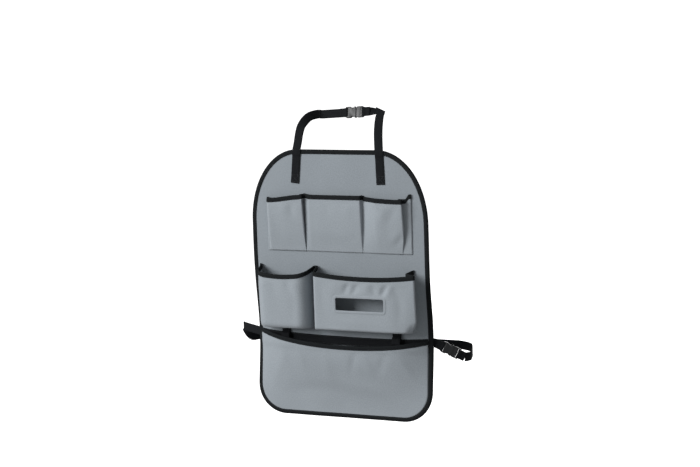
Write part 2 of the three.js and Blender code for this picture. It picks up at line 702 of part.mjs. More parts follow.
// The socket sits at the frame's origin, and the plug is turned round to face it.
const PLUG_BAR_U = SOCKET_L + GAP + PLUG_BASE_L;
const plugFrame = (frame) => frame.clone()
  .multiply(new THREE.Matrix4().makeTranslation(PLUG_BAR_U, 0, 0))
  .multiply(new THREE.Matrix4().makeRotationZ(Math.PI));

const RUN_Y = POST_BACK + POST_R + GAP + WEB_T / 2;
const RUN_Z = PANEL_H + POST_RISE;
const tilt = radians(RUN_TILT);
const lean = radians(RUN_LEAN);
const topFrame = frameAt(v3(TOP_BUCKLE_X, RUN_Y, RUN_Z),
  v3(Math.cos(tilt), 0, Math.sin(tilt)), v3(0, Math.sin(lean), Math.cos(lean)));
const acrossFrame = (frame) => v3().setFromMatrixColumn(frame, 1);
const loopStations = (frame, tail, w) => barLoop(tail).map(([u, n]) => ({ p: inFrame(frame, u, n), w }));

// How the free straps lie on the seat's top, chosen by hand. Each point holds shares: of the way in to the
// post, of the way back to the run behind it and of the way up to that run.
const leftStrap = {
  side: -1, footX: STRAP_LEFT_FOOT_X, topX: STRAP_LEFT_TOP_X,
  route: [[0.03, 0.03, 0.2], [0.04, 0.16, 0.48], [0.09, 0.32, 0.69], [0.33, 0.63, 0.9], [0.73, 0.94, 0.96]],
};
const rightStrap = {
  side: 1, footX: STRAP_RIGHT_FOOT_X, topX: STRAP_RIGHT_TOP_X,
  route: [[0.06, 0.02, 0.15], [0.18, 0.17, 0.43], [0.35, 0.43, 0.69], [0.56, 0.79, 0.9]],
};
const STRAP_STEPS = 12;

// Sewn end of a shoulder strap: flat on the panel, then up over the edge tape. The tape falls away beside
// the straight upper edge, so the strap steps up a little below the tape's width.
const STEP_CLEAR = 2.4;
function strapRoot({ side, footX, topX }) {
  const foot = PANEL_H - STRAP_SEWN_L;
  const edge = PANEL_H - TAPE_W - STEP_CLEAR;
  const at = (z, depth) => v3(side * lerp(footX, topX, (z - foot) / STRAP_SEWN_L), -depth, z);
  return [
    at(foot, WEB_ON_PANEL), at(edge - 2 * WEB_T, WEB_ON_PANEL),
    at(edge, WEB_ON_BINDING), at(PANEL_H, WEB_ON_BINDING),
  ];
}
function strapFree(strap, end) {
  const points = strap.route.map(([inward, back, up]) => (
    v3(strap.side * lerp(strap.topX, POST_HALF_SPAN, inward), back * RUN_Y, PANEL_H + up * POST_RISE)));
  return new THREE.CatmullRomCurve3([strapRoot(strap).at(-1), ...points, end], false, 'centripetal')
    .getSpacedPoints(STRAP_STEPS).slice(1);
}
const acrossX = v3(1, 0, 0);
const sewnStations = (strap) => strapRoot(strap).map((p) => ({ p, w: acrossX }));

// The left strap turns slowly on its way up, so that it runs behind the post on edge.
function shoulderStrapLeft(frame) {
  const turned = acrossFrame(frame).negate();
  const toPost = POST_HALF_SPAN + TOP_BUCKLE_X;
  const free = strapFree(leftStrap, inFrame(frame, -toPost, -LAYER_REST))
    .map((p, i) => ({ p, w: acrossX.clone().lerp(turned, smooth((i + 1) / STRAP_STEPS)) }));
  return ribbon([...sewnStations(leftStrap), ...free, ...loopStations(frame, TAIL_L, turned)]);
}

// The right strap goes straight up and is turned over a diagonal fold behind the post.
function shoulderStrapRight(frame) {
  const d = v3(...FOLD_APPROACH).normalize();
  const w = acrossX.clone().addScaledVector(d, -d.x).normalize();
  const centre = v3(POST_HALF_SPAN + FOLD_OUT, RUN_Y + FOLD_BACK, RUN_Z + FOLD_UP);
  const fold = diagonalFold(centre, d, w);
  const free = strapFree(rightStrap, fold[0].p).slice(0, -1)
    .map((p, i) => ({ p, w: acrossX.clone().lerp(w, smooth((i + 1) / STRAP_STEPS)) }));
  const loop = loopStations(frame, TAIL_L, acrossFrame(frame));
  return ribbon([...sewnStations(rightStrap), ...free, ...fold, ...loop]);
}

// Belt ends: sewn behind the panel, flat on it and then over the edge tape.
const BELT_STEP_L = 3;
const beltZ = (side) => (side > 0 ? BELT_Z - BELT_RIGHT_DROP : BELT_Z);
function beltRoot(side) {
  const half = PANEL_W / 2;
  const back = (x, depth) => v3(side * x, layer(x, beltZ(side), depth), beltZ(side));
  return [
    back(half - BELT_SEWN_L, WEB_ON_PANEL), back(half - BELT_SEWN_L / 2, WEB_ON_PANEL),
    back(half - TAPE_W - BELT_STEP_L, WEB_ON_PANEL), back(half - TAPE_W, WEB_ON_BINDING),
    back(half - TAPE_W / 2, WEB_ON_BINDING), back(half, WEB_ON_BINDING),
  ];
}
const upZ = v3(0, 0, 1);
const upright = (points) => points.map((p) => ({ p, w: upZ }));
const EXIT_SLOPE = (2 * WRAP_DEPTH) / (PANEL_W / 2 - FLAT_W / 2);
const turn = radians(BELT_BUCKLE_TURN);
const fall = radians(BELT_BUCKLE_FALL);
const beltAlong = v3(Math.cos(fall) * Math.cos(turn), Math.cos(fall) * Math.sin(turn), -Math.sin(fall));
const shortEnd = beltRoot(1).at(-1).add(v3(1, EXIT_SLOPE, -BELT_SHORT_SLOPE).setLength(BELT_SHORT_L));
const beltFrame = frameAt(shortEnd, beltAlong, upZ);

function beltShort() {
  return ribbon([...upright(beltRoot(1)), ...loopStations(beltFrame, SHORT_TAIL_L, acrossFrame(beltFrame))]);
}

// The long belt runs from the left edge, round the seat's flanks and front, to the plug on the right.
const BELT_CORNER_STEPS = 6;
const BELT_LEAVE_L = 4;
const BELT_ARRIVE_L = 15;
function beltLong() {
  const plug = plugFrame(beltFrame);
  const exit = beltRoot(-1).at(-1);
  const leave = inFrame(plug, -BELT_ARRIVE_L, -LAYER_REST);
  const rearY = leave.y + SEAT_REAR_R / 2;
  const plan = roundedLine([
    [exit.x - BELT_LEAVE_L, exit.y + BELT_LEAVE_L * EXIT_SLOPE],
    [-SEAT_HALF_W, rearY, SEAT_REAR_R],
    [-SEAT_HALF_W, SEAT_DEPTH, SEAT_CORNER_R],
    [SEAT_HALF_W, SEAT_DEPTH, SEAT_CORNER_R],
    [SEAT_HALF_W, rearY, SEAT_REAR_R / 2],
    [leave.x, leave.y],
  ], BELT_CORNER_STEPS);
  const levelY = SEAT_DEPTH - SEAT_CORNER_R / 2;
  const flank = plan.map(({ x, y }) => {
    const t = smooth((y - rearY) / (levelY - rearY));
    return v3(x, y, lerp(x < 0 ? exit.z : leave.z, BELT_LOW_Z, t));
  });
  return ribbon([...upright([...beltRoot(-1), ...flank]), ...loopStations(plug, TAIL_L, acrossFrame(plug))]);
}

// Hanging loop: both ends sewn to the panel one on the other, and the loop stands off it.
const LOOP_STEPS = 6;
const LOOP_BELLY = 0.75;
const LOOP_BELLY_SHARE = 0.45;
function hangingLoop(side) {
  const near = -WEB_ON_PANEL;
  const second = near - WEB_T - GAP;
  const low = LOOP_TOP_Z - LOOP_L;
  const r = LOOP_OUT / 2;
  const line = [[near, LOOP_TOP_Z], [near, LOOP_TOP_Z - LOOP_SEWN_L], [near, low + r]];
  for (let k = 1; k < LOOP_STEPS; k++) {
    const a = (Math.PI * k) / LOOP_STEPS;
    line.push([near - r + r * Math.cos(a), low + r - r * Math.sin(a)]);
  }
  line.push(
    [near - LOOP_OUT, low + r],
    [lerp(second, near - LOOP_OUT, LOOP_BELLY), lerp(LOOP_TOP_Z, low, LOOP_BELLY_SHARE)],
    [second, LOOP_TOP_Z - LOOP_SEWN_L],
    [second, LOOP_TOP_Z],
  );
  return ribbon(line.map(([y, z]) => ({ p: v3(side * (PANEL_W / 2 - LOOP_INSET), y, z), w: acrossX })));
}

// Assembly. The group's origin is in the middle between the posts, at the height of the strap run.
const organizer = new THREE.Group();
organizer.position.set(0, -POST_BACK, -RUN_Z);
const add = (name, geometry, material, frame) => {
  const mesh = new THREE.Mesh(geometry, material);
  mesh.name = name;
  if (frame) frame.decompose(mesh.position, mesh.quaternion, mesh.scale);
  organizer.add(mesh);
};

add('back_panel', backPanel(), cloth());
add('edge_binding', edgeBinding(), tape());
add('upper_pocket_strip', sheet(upperGrid(), CLOTH_T), cloth());
add('upper_pocket_binding', mouthTape(...upperGrid()), tape());
add('snug_pocket', sheet(snugGrid(), CLOTH_T), cloth());
add('snug_pocket_binding', mouthTape(...snugGrid()), tape());
add('tissue_pocket', tissuePocket(), cloth());
add('tissue_pocket_binding', mouthTape(...boxGrid()), tape());
add('map_pocket', sheet(mapGrid(), CLOTH_T), cloth());
add('map_pocket_binding', mouthTape(...mapGrid().reverse()), tape());
add('shoulder_strap_left', shoulderStrapLeft(topFrame), webbing());
add('shoulder_strap_right', shoulderStrapRight(plugFrame(topFrame)), webbing());
add('top_buckle_socket', socketBody(), plastic(), topFrame);
add('top_buckle_plug', plugBody(), plastic(), plugFrame(topFrame));
add('side_strap_short', beltShort(), webbing());
add('side_strap_long', beltLong(), webbing());
add('side_buckle_socket', socketBody(), plastic(), beltFrame);
add('side_buckle_plug', plugBody(), plastic(), plugFrame(beltFrame));
for (const [name, side] of [['left', -1], ['right', 1]]) {
  add(`hanging_loop_${name}`, hangingLoop(side), webbing());
}

const root = new THREE.Group();
root.add(organizer);
export default root;
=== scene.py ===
"""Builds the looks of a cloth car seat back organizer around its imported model.

The pieces are sewn cloth, folded edge tape, webbing and moulded buckles. Helpers count in millimetres
from the panel: z from its lower edge, y from its middle with the pockets towards -Y, and +X to the right.
"""
import math

import bmesh
import bpy
import numpy as np
from bpy.props import FloatProperty, FloatVectorProperty, PointerProperty
from mathutils import Matrix, Vector


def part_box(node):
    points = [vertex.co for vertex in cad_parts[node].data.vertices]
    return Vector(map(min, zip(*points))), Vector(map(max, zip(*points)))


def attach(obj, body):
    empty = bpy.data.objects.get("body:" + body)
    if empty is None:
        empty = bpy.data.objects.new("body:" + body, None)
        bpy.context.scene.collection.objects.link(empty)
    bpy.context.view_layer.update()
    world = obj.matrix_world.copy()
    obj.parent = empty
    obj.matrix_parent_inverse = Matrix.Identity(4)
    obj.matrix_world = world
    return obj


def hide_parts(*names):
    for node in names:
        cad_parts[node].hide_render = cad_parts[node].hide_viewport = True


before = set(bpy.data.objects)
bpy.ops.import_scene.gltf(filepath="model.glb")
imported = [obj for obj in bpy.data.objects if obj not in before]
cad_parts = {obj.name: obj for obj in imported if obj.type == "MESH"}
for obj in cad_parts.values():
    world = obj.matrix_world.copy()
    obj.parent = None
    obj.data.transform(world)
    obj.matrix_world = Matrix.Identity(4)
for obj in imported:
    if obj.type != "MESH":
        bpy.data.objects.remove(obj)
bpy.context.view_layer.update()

bl_info = {
    "name": "Seat Back Organizer",
    "version": (1, 0, 0),
    "blender": (4, 5, 0),
    "location": "View3D > Sidebar > Organizer",
    "description": "Builds a sewn car seat back organizer around its packed model",
    "category": "Object",
}

MM = 0.001
BODY = "root"
EDGE_LOW, EDGE_HIGH = (np.array(corner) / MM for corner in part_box("edge_binding"))
PANEL_T = 3.0
PANEL_W = float(EDGE_HIGH[0] - EDGE_LOW[0])
PANEL_H = float(EDGE_HIGH[2] - EDGE_LOW[2])
# The row's origin lies above the panel and behind it, and this brings a panel coordinate into the row frame.
SHIFT = np.array([0.0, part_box("back_panel")[0][1] / MM + PANEL_T / 2, EDGE_LOW[2]])

# Clearances, seams and layers, the belt's height, and how finely the pieces are divided.
GAP = 0.3
EDGE_GAP = 0.4
BELT_Z, BELT_SAG = 183.0, 5.0
FLANGE = 4.0
SHARED_FLANGE = 3.0
SIDE_LEAN = 3.0
SEAM_R = 2.6
MOUTH_H = 12.0
CLOTH_STEP, SLOT_STEP, TAPE_STEP, FREE_STEP = 2.6, 3.0, 4.0, 9.0
FOOT_STEPS, SIDE_STEPS, SHOULDER_STEPS = 22, 124, 44
TAPER_STEPS, BAG_TURN_STEPS, BAG_FLOOR_STEPS = 5, 7, 12
PANEL_COLUMNS, MAP_COLUMNS, FRONT_BELT_STATIONS = 121, 131, 61
TAPE_ROW, MOUTH_ROWS = 3, 5
BAG_TURN_SHARE = 0.2
BAG_FLOOR_RISE = 3.0

# Upper row.
UPPER_TOP_Z, UPPER_HEM_Z = 500.0, 374.0
UPPER_LEFT_X, UPPER_SEAM_1_X, UPPER_SEAM_2_X, UPPER_RIGHT_X = -171.0, -74.5, 58.5, 173.0
UPPER_DEPTH_LEFT, UPPER_DEPTH_MIDDLE, UPPER_DEPTH_RIGHT = 16.0, 9.0, 16.0
UPPER_PLEAT_W, UPPER_SLOPE_W, UPPER_SLOPE_R = 13.0, 36.0, 21.0
# The outer pockets are folded under themselves at the mouth. The left one's edge lies at this x.
UPPER_EDGE_LEFT_X, UPPER_UNDER_W, UPPER_UNDER_RISE = -79.0, 10.0, 3.2
UPPER_HEM_UNDER_W, UPPER_HEM_RISE, UPPER_HEM_SHIFT, UPPER_FOOT_SHARE = -0.7, 8.0, 6.0, 0.08
UPPER_HANG, UPPER_HANG_L, UPPER_SEAM_HANG, UPPER_PUFF = 8.0, 80.0, 3.0, 1.6
UPPER_HELD_LEFT, UPPER_HELD_RIGHT = 2.0, 10.5

# Lower row.
LOWER_TOP_Z, LOWER_SEAM_Z = 341.0, 203.0
SNUG_LEFT_X, SNUG_RIGHT_X, SNUG_INSET_LEFT, SNUG_INSET_RIGHT = -190.0, -61.0, 10.0, 6.0
SNUG_DEPTH, SNUG_CORNER_LEFT_R, SNUG_CORNER_RIGHT_R = 48.0, 20.0, 24.0
SNUG_DROP, SNUG_SAG, SNUG_TURN, SNUG_PUFF = 10.0, 5.0, 10.0, 1.0
SNUG_FREE_H, BOX_FREE_H = 14.0, 10.0
BOX_LEFT_X, BOX_RIGHT_X, BOX_FRONT_LEFT_X, BOX_FRONT_RIGHT_X = -54.0, 172.0, -44.0, 196.0
BOX_DEPTH, BOX_CORNER_R, BOX_PINCH_R, BOX_DROP, BOX_SAG, BOX_TURN = 46.0, 6.0, 2.4, 6.0, 8.0, 6.0
BOX_GUSSET_X, BOX_GUSSET_Y = 164.0, 22.0
# The lower right corner is pinched in by this far, over this reach.
PINCH_X, PINCH_Y, PINCH_REACH = 13.0, 6.0, 32.0
SLOT_W, SLOT_H, SLOT_CENTRE_X, SLOT_BOTTOM_Z = 114.0, 29.0, 64.0, 252.0

# Map pocket, straps and buckles.
MAP_TOP_Z, MAP_SAG, MAP_DEPTH, MAP_LEAN = 188.0, 19.0, 22.0, 5.0
STRAP_SEWN_L, STEP_CLEAR = 75.0, 2.4
POST_HALF_SPAN, POST_R, POST_BACK, POST_RISE = 64.0, 5.5, 66.0, 75.0
RUN_TILT, RUN_LEAN = 3.5, 18.0
FOLD_OUT, FOLD_BACK, FOLD_UP, FOLD_APPROACH = 11.0, 3.5, 7.0, (-0.3, 0.73, 0.61)
FOLD_STEPS, FOLD_EASE = 8, 0.6
BELT_SEWN_L, BELT_LOW_Z, BELT_RIGHT_DROP = 32.0, 152.0, 6.0
SEAT_HALF_W, SEAT_DEPTH, SEAT_CORNER_R, SEAT_REAR_R = 277.0, 130.0, 60.0, 24.0
BELT_BUCKLE_TURN, BELT_BUCKLE_FALL, BELT_SHORT_L, BELT_SHORT_SLOPE = 30.0, 28.0, 18.0, 0.5
BELT_LEAVE_L, BELT_ARRIVE_L = 4.0, 15.0
STRAP_STEP, LOOP_STEP, BELT_STEP = 2.6, 1.5, 6.0
UP, ACROSS = np.array([0.0, 0.0, 1.0]), np.array([1.0, 0.0, 0.0])
SOCKET_L, BAR_W, BAR_T, PLUG_BASE_L, TOP_BUCKLE_X = 26.0, 3.0, 4.0, 17.0, -6.0
TAIL_L, SHORT_TAIL_L = 14.0, 12.0
BUCKLE_EDGE_R = 0.35
LOOP_X, LOOP_TOP_Z, LOOP_L, LOOP_OUT, LOOP_SEWN_L = 133.0, 199.0, 26.0, 9.0, 7.0

# Stitches: how far they lie from an edge, off the cloth and round the slot.
STITCH_INSET, STITCH_LIFT, EDGE_STITCH_INSET, EDGE_STITCH_LIFT = 2.0, 0.1, 1.8, 0.3
SEAM_STITCH_OUT, SLOT_STITCH_OUT, SLOT_STITCH_R, SLOT_STITCH_LIFT = 3.0, 3.0, 6.0, 0.95
STRAP_STITCH_RISE, BELT_STITCH_INSET, BELT_STITCH_POINTS = 2.5, 14.0, 90

# Camera: where the photograph was taken from, found by fitting it to the panel's outline.
VIEW_AZIMUTH, VIEW_ELEVATION, VIEW_ROLL = 23.11, 8.16, -1.65
VIEW_DISTANCE, VIEW_TARGET = 3.993, (np.array([26.1, 0.0, 415.7]) + SHIFT) * MM
SENSOR_MM, FOCAL_PX, PHOTO_W_PX = 36.0, 1820.0, 700.0

# Studio, in metres and watts. The lights face one place on the panel.
LIGHTS = {"key_light": ((-2.64, -3.13, 1.32), 2.4, 235.0), "fill_light": ((2.8, -2.6, 0.6), 3.0, 8.0),
          "rear_light": ((0.4, 3.2, 0.5), 2.4, 60.0)}
LIGHT_AIM, SKY_STRENGTH = (0.0, -0.05, -0.35), 0.34
FLOOR_Z, FLOOR_REACH, FLOOR_BEND, FLOOR_TOP, FLOOR_TURNS = -0.98, 5.0, 1.6, 9.0, 96


def linear(hex_code):
    """Linear colour of an sRGB hex value."""
    parts = [int(hex_code[i:i + 2], 16) / 255 for i in (1, 3, 5)]
    return tuple(c / 12.92 if c <= 0.04045 else ((c + 0.055) / 1.055) ** 2.4 for c in parts)


def length(name, text, millimetres):
    """A length that a user may change, held in metres."""
    return FloatProperty(name=name, description=text, default=millimetres * MM, min=0.0, subtype="DISTANCE",
                         unit="LENGTH")


def tint(name, text, hex_code):
    """A colour that a user may change."""
    return FloatVectorProperty(name=name, description=text, default=linear(hex_code), size=3, min=0.0,
                               max=1.0, subtype="COLOR")


class OrganizerSizes(bpy.types.PropertyGroup):
    """Sizes that can be set by themselves."""
    top_edge: length("Top edge", "Length of the panel's straight upper edge", 190)
    shoulder: length("Shoulder", "Height of the panel's rounded upper corners", 160)
    foot_radius: length("Foot radius", "Radius of the panel's lower corners", 68)
    flat_width: length("Flat width", "Width of the panel's flat middle", 240)
    wrap_depth: length("Wrap depth", "How far the belt pulls the panel's sides back", 17)
    wrap_spread: length("Wrap spread", "Height over which that pull fades", 105)
    slack: length("Slack", "Height of the slack panel's soft waves", 0.8)
    cloth: length("Cloth", "Thickness of the pockets' cloth", 1.0)
    tape: length("Tape", "Thickness of the folded edge tape", 0.8)
    tape_width: length("Tape width", "Width of the folded edge tape", 10)
    webbing: length("Webbing", "Thickness of the webbing", 1.5)
    webbing_width: length("Webbing width", "Width of the webbing", 20)
    stitch: length("Stitch", "Length of one stitch", 2.7)
    stitch_pitch: length("Stitch pitch", "Distance from one stitch to the next", 3.8)
    thread: length("Thread", "Thickness of the sewing thread", 0.6)


class OrganizerColours(bpy.types.PropertyGroup):
    """Colours that can be set by themselves."""
    cloth: tint("Cloth", "Grey of the pockets' woven cloth", "#8e959b")
    # The back panel's grey is the pockets' cloth painted a little darker: painted shade for the shade that
    # the pockets cast on the panel.
    panel: tint("Panel", "Grey of the back panel's woven cloth", "#858c92")
    tape: tint("Tape", "Black of the edge tape", "#0f1214")
    webbing: tint("Webbing", "Black of the webbing", "#131518")
    plastic: tint("Plastic", "Black of the buckles", "#17191b")
    thread: tint("Thread", "Grey of the thread in the cloth", "#959ca1")
    dark_thread: tint("Dark thread", "Black of the thread in tape and webbing", "#26292c")
    floor: tint("Floor", "Pale floor and backdrop", "#f4f4f4")


def size(name):
    """A set size in millimetres."""
    return getattr(bpy.context.scene.organizer_sizes, name) / MM


def paint(name):
    """A set colour as red, green, blue and alpha."""
    return (*getattr(bpy.context.scene.organizer_colours, name), 1.0)


# Shapes

def lerp(a, b, t):
    return a + (b - a) * t


def smooth(t):
    t = np.clip(t, 0.0, 1.0)
    return t * t * (3 - 2 * t)


def unit(v):
    return v / np.maximum(np.linalg.norm(v, axis=-1, keepdims=True), 1e-9)


def waves(x, z):
    """Soft waves of slack cloth, from -1 to 1, with crests 110 to 230 mm apart."""
    return (0.45 * np.sin(x / 29 + z / 61 + 0.7) * np.cos(z / 47 - x / 90)
            + 0.35 * np.sin(x / 18 - z / 75 + 2.1) * np.cos(z / 66 + 0.4)
            + 0.2 * np.sin(z / 24 + x / 55))


def pulled(x, z):
    """Where taut cloth would lie. It is flat in the middle, and the belt pulls its sides back."""
    half = size("flat_width") / 2
    out = np.maximum(0.0, np.abs(x) - half) / (PANEL_W / 2 - half)
    return size("wrap_depth") * out ** 2 * np.exp(-((z - BELT_Z) / size("wrap_spread")) ** 2)


def ground(x, z):
    """Where the panel's middle surface lies, with its slack waves."""
    return pulled(x, z) + size("slack") * waves(x, z)


def layer(x, z, depth, surface_at=ground):
    """Where a layer lies that is a given depth behind the panel's middle surface."""
    across = surface_at(x + 0.5, z) - surface_at(x - 0.5, z)
    up = surface_at(x, z + 0.5) - surface_at(x, z - 0.5)
    return surface_at(x, z) + depth * np.sqrt(1 + across ** 2 + up ** 2)


def on_layer(x, z, depth, surface_at=ground):
    """Points at (x, z) on a layer."""
    return np.stack([x, layer(x, z, depth, surface_at), z], axis=-1)


def depths():
    """Depths of the layers, counted from the panel's middle surface."""
    face = PANEL_T / 2
    half_tape = size("cloth") / 2 + GAP + size("tape")
    return {"face": face, "binding": face + EDGE_GAP + size("tape"), "cloth": face + GAP + size("cloth") / 2,
            "mouth": face + GAP + half_tape, "webbing": face + GAP + size("webbing") / 2,
            "on_binding": face + EDGE_GAP + size("tape") + GAP + size("webbing") / 2}


def rounded_line(corners, steps=5):
    """A line through (x, y, radius) corners with each of them rounded."""
    out = []
    for i, corner in enumerate(corners):
        here = np.array(corner[:2], float)
        radius = corner[2] if len(corner) > 2 else 0
        if not radius:
            out.append(here)
            continue
        a, b = (unit(np.array(corners[k][:2], float) - here) for k in (i - 1, i + 1))
        half = math.acos(np.clip(a @ b, -1, 1)) / 2
        centre = here + unit(a + b) * radius / math.sin(half)
        start, end = (here + v * radius / math.tan(half) - centre for v in (a, b))
        turn = math.atan2(start[0] * end[1] - start[1] * end[0], start @ end)
        for k in range(steps + 1):
            c, s = math.cos(turn * k / steps), math.sin(turn * k / steps)
            out.append(centre + np.array([c * start[0] - s * start[1], s * start[0] + c * start[1]]))
    return np.array(out)


def filled(line, step, stops=()):
    """Adds points to long stretches, and where a stretch crosses one of the stops along x."""
    out = [line[0]]
    for a, b in zip(line[:-1], line[1:]):
        count = max(1, round(float(np.linalg.norm((b - a)[:2])) / step))
        shares = set(k / count for k in range(1, count + 1))
        for x in stops:
            t = (x - a[0]) / (b[0] - a[0]) if abs(b[0] - a[0]) > step else -1
            if 0.01 < t < 0.99:
                shares = {s for s in shares if abs(s - t) * count > 0.45 or s == 1} | {t}
        out += [lerp(a, b, t) for t in sorted(shares)]
    return np.array(out)


def filled_rows(rows, step):
    """Adds rows of values between given ones, so that no two are further apart in height than a step."""
    out = [rows[0]]
    for a, b in zip(rows[:-1], rows[1:]):
        count = max(1, round(abs(b[0] - a[0]) / step))
        out += [[lerp(p, q, k / count) for p, q in zip(a, b)] for k in range(1, count + 1)]
    return out


def outline(inset):
    """Right half of the panel's outline from its foot to its top, moved inwards, as x and z."""
    half, radius = PANEL_W / 2, size("foot_radius")
    height = size("shoulder")
    reach = half - size("top_edge") / 2
    a = np.linspace(0, math.pi / 2, FOOT_STEPS + 1)
    foot = np.stack([half - radius + (radius - inset) * np.sin(a), radius - (radius - inset) * np.cos(a)], 1)
    z = np.linspace(radius, PANEL_H - height, SIDE_STEPS + 1)[1:-1]
    side = np.stack([np.full_like(z, half - inset), z], 1)
    a = np.linspace(0, math.pi / 2, SHOULDER_STEPS + 1)
    normal = unit(np.stack([np.cos(a) * height, np.sin(a) * reach], 1))
    top = np.stack([half - reach + reach * np.cos(a), PANEL_H - height + height * np.sin(a)], 1)
    return np.concatenate([foot, side, top - inset * normal])


def folds(grid, marks):
    """Soft folds of cloth. Each mark is (x, z, lean in degrees, length, width, height)."""
    x, z = grid[..., 0], grid[..., 2]
    total = np.zeros_like(x)
    for cx, cz, lean, long, wide, high in marks:
        c, s = math.cos(math.radians(lean)), math.sin(math.radians(lean))
        across = (x - cx) * c + (z - cz) * s
        along = (z - cz) * c - (x - cx) * s
        total = total + high * np.exp(-(across / wide) ** 2) * np.exp(-(along / long) ** 2)
    return total


# Meshes

def smooth_shaded(mesh):
    mesh.polygons.foreach_set("use_smooth", [True] * len(mesh.polygons))


def to_object(name, points, faces, uvs, material):
    """A mesh piece at the origin, from points in panel millimetres and each face's corners and their UVs."""
    mesh = bpy.data.meshes.new(name)
    mesh.from_pydata(((np.asarray(points) + SHIFT) * MM).tolist(), [], [list(map(int, f)) for f in faces])
    layer_uv = mesh.uv_layers.new(name="weave")
    layer_uv.data.foreach_set("uv", np.asarray([c for face in uvs for c in face], dtype=np.float32).ravel())
    mesh.materials.append(material)
    smooth_shaded(mesh)
    mesh.update()
    piece = bpy.data.objects.new(name, mesh)
    bpy.context.collection.objects.link(piece)
    return piece


def grid_normals(grid):
    """Normals out of the front of a grid whose rows run down and whose columns run to the right."""
    return unit(np.cross(np.gradient(grid, axis=0), np.gradient(grid, axis=1)))


def arc_uv(grid):
    """Distances along the rows and columns of a grid, in millimetres from its middle column and first row."""
    u = np.zeros(grid.shape[:2])
    v = np.zeros(grid.shape[:2])
    u[:, 1:] = np.cumsum(np.linalg.norm(np.diff(grid, axis=1), axis=2), axis=1)
    v[1:] = np.cumsum(np.linalg.norm(np.diff(grid, axis=0), axis=2), axis=0)
    return np.stack([u - u[:, [grid.shape[1] // 2]], -v], 2)


def cloth_sheet(name, grid, thickness, material, hole=None):
    """A closed sheet of cloth round the middle surface that a grid gives, with UVs in millimetres."""
    rows, columns = grid.shape[:2]
    normal = grid_normals(grid)
    points = np.concatenate([(grid + normal * thickness / 2).reshape(-1, 3),
                             (grid - normal * thickness / 2).reshape(-1, 3)])
    uv = arc_uv(grid).reshape(-1, 2)
    behind = rows * columns
    faces, coords, edges = [], [], {}
    for i in range(rows - 1):
        for j in range(columns - 1):
            if hole is not None and hole(i, j):
                continue
            ring = [i * columns + j, (i + 1) * columns + j, (i + 1) * columns + j + 1, i * columns + j + 1]
            faces += [ring, [k + behind for k in reversed(ring)]]
            coords += [[uv[k] for k in ring], [uv[k] for k in reversed(ring)]]
            for a, b in zip(ring, ring[1:] + ring[:1]):
                edges[a, b] = True
    for a, b in edges:
        if (b, a) not in edges:
            faces.append([a, a + behind, b + behind, b])
            coords.append([uv[a], uv[a] + thickness, uv[b] + thickness, uv[b]])
    return to_object(name, points, faces, coords, material)


def swept(name, rings, material, closed=False):
    """A closed body from section rings carried along a path, with UVs in millimetres."""
    rings = np.asarray(rings)
    count, n = rings.shape[:2]
    along = np.zeros(count + 1)
    middle = rings.mean(axis=1)
    along[1:count] = np.cumsum(np.linalg.norm(np.diff(middle, axis=0), axis=1))
    along[count] = along[count - 1] + np.linalg.norm(middle[0] - middle[-1])
    around = np.zeros(n + 1)
    around[1:] = np.cumsum(np.linalg.norm(np.roll(rings[0], -1, axis=0) - rings[0], axis=1))
    faces, coords = [], []
    for i in range(count if closed else count - 1):
        for k in range(n):
            a, b = (i, k), (i, (k + 1) % n)
            c, d = ((i + 1) % count, (k + 1) % n), ((i + 1) % count, k)
            faces.append([p * n + q for p, q in (a, b, c, d)])
            coords.append([(around[k], along[i]), (around[k + 1], along[i]),
                           (around[k + 1], along[i + 1]), (around[k], along[i + 1])])
    if not closed:
        for i, order in ((0, range(n - 1, -1, -1)), (count - 1, range(n))):
            faces.append([i * n + k for k in order])
            coords.append([(around[k], along[i]) for k in order])
    piece = to_object(name, rings.reshape(-1, 3), faces, coords, material)
    outward(piece)
    return piece


def outward(piece):
    """Turns a closed piece's faces so that they point out."""
    body = bmesh.new()
    body.from_mesh(piece.data)
    if body.calc_volume(signed=True) < 0:
        bmesh.ops.reverse_faces(body, faces=body.faces)
    body.to_mesh(piece.data)
    body.free()


def curve_through(points, values, step):
    """Points on a smooth line through given ones, with other values carried along."""
    points, values = np.asarray(points, float), np.asarray(values, float)
    knots = np.zeros(len(points))
    knots[1:] = np.cumsum(np.sqrt(np.maximum(np.linalg.norm(np.diff(points, axis=0), axis=1), 1e-6)))
    both = np.concatenate([points, values], axis=1)
    slope = np.zeros_like(both)
    slope[1:-1] = (both[2:] - both[:-2]) / (knots[2:] - knots[:-2])[:, None]
    slope[0] = (both[1] - both[0]) / (knots[1] - knots[0])
    slope[-1] = (both[-1] - both[-2]) / (knots[-1] - knots[-2])
    out = []
    for i in range(len(points) - 1):
        h = knots[i + 1] - knots[i]
        for t in np.arange(0, 1, 1 / max(2, math.ceil(np.linalg.norm(points[i + 1] - points[i]) / step))):
            out.append((2 * t ** 3 - 3 * t ** 2 + 1) * both[i] + (t ** 3 - 2 * t ** 2 + t) * h * slope[i]
                       + (3 * t ** 2 - 2 * t ** 3) * both[i + 1] + (t ** 3 - t ** 2) * h * slope[i + 1])
    out.append(both[-1])
    out = np.array(out)
    return out[:, :3], out[:, 3:]


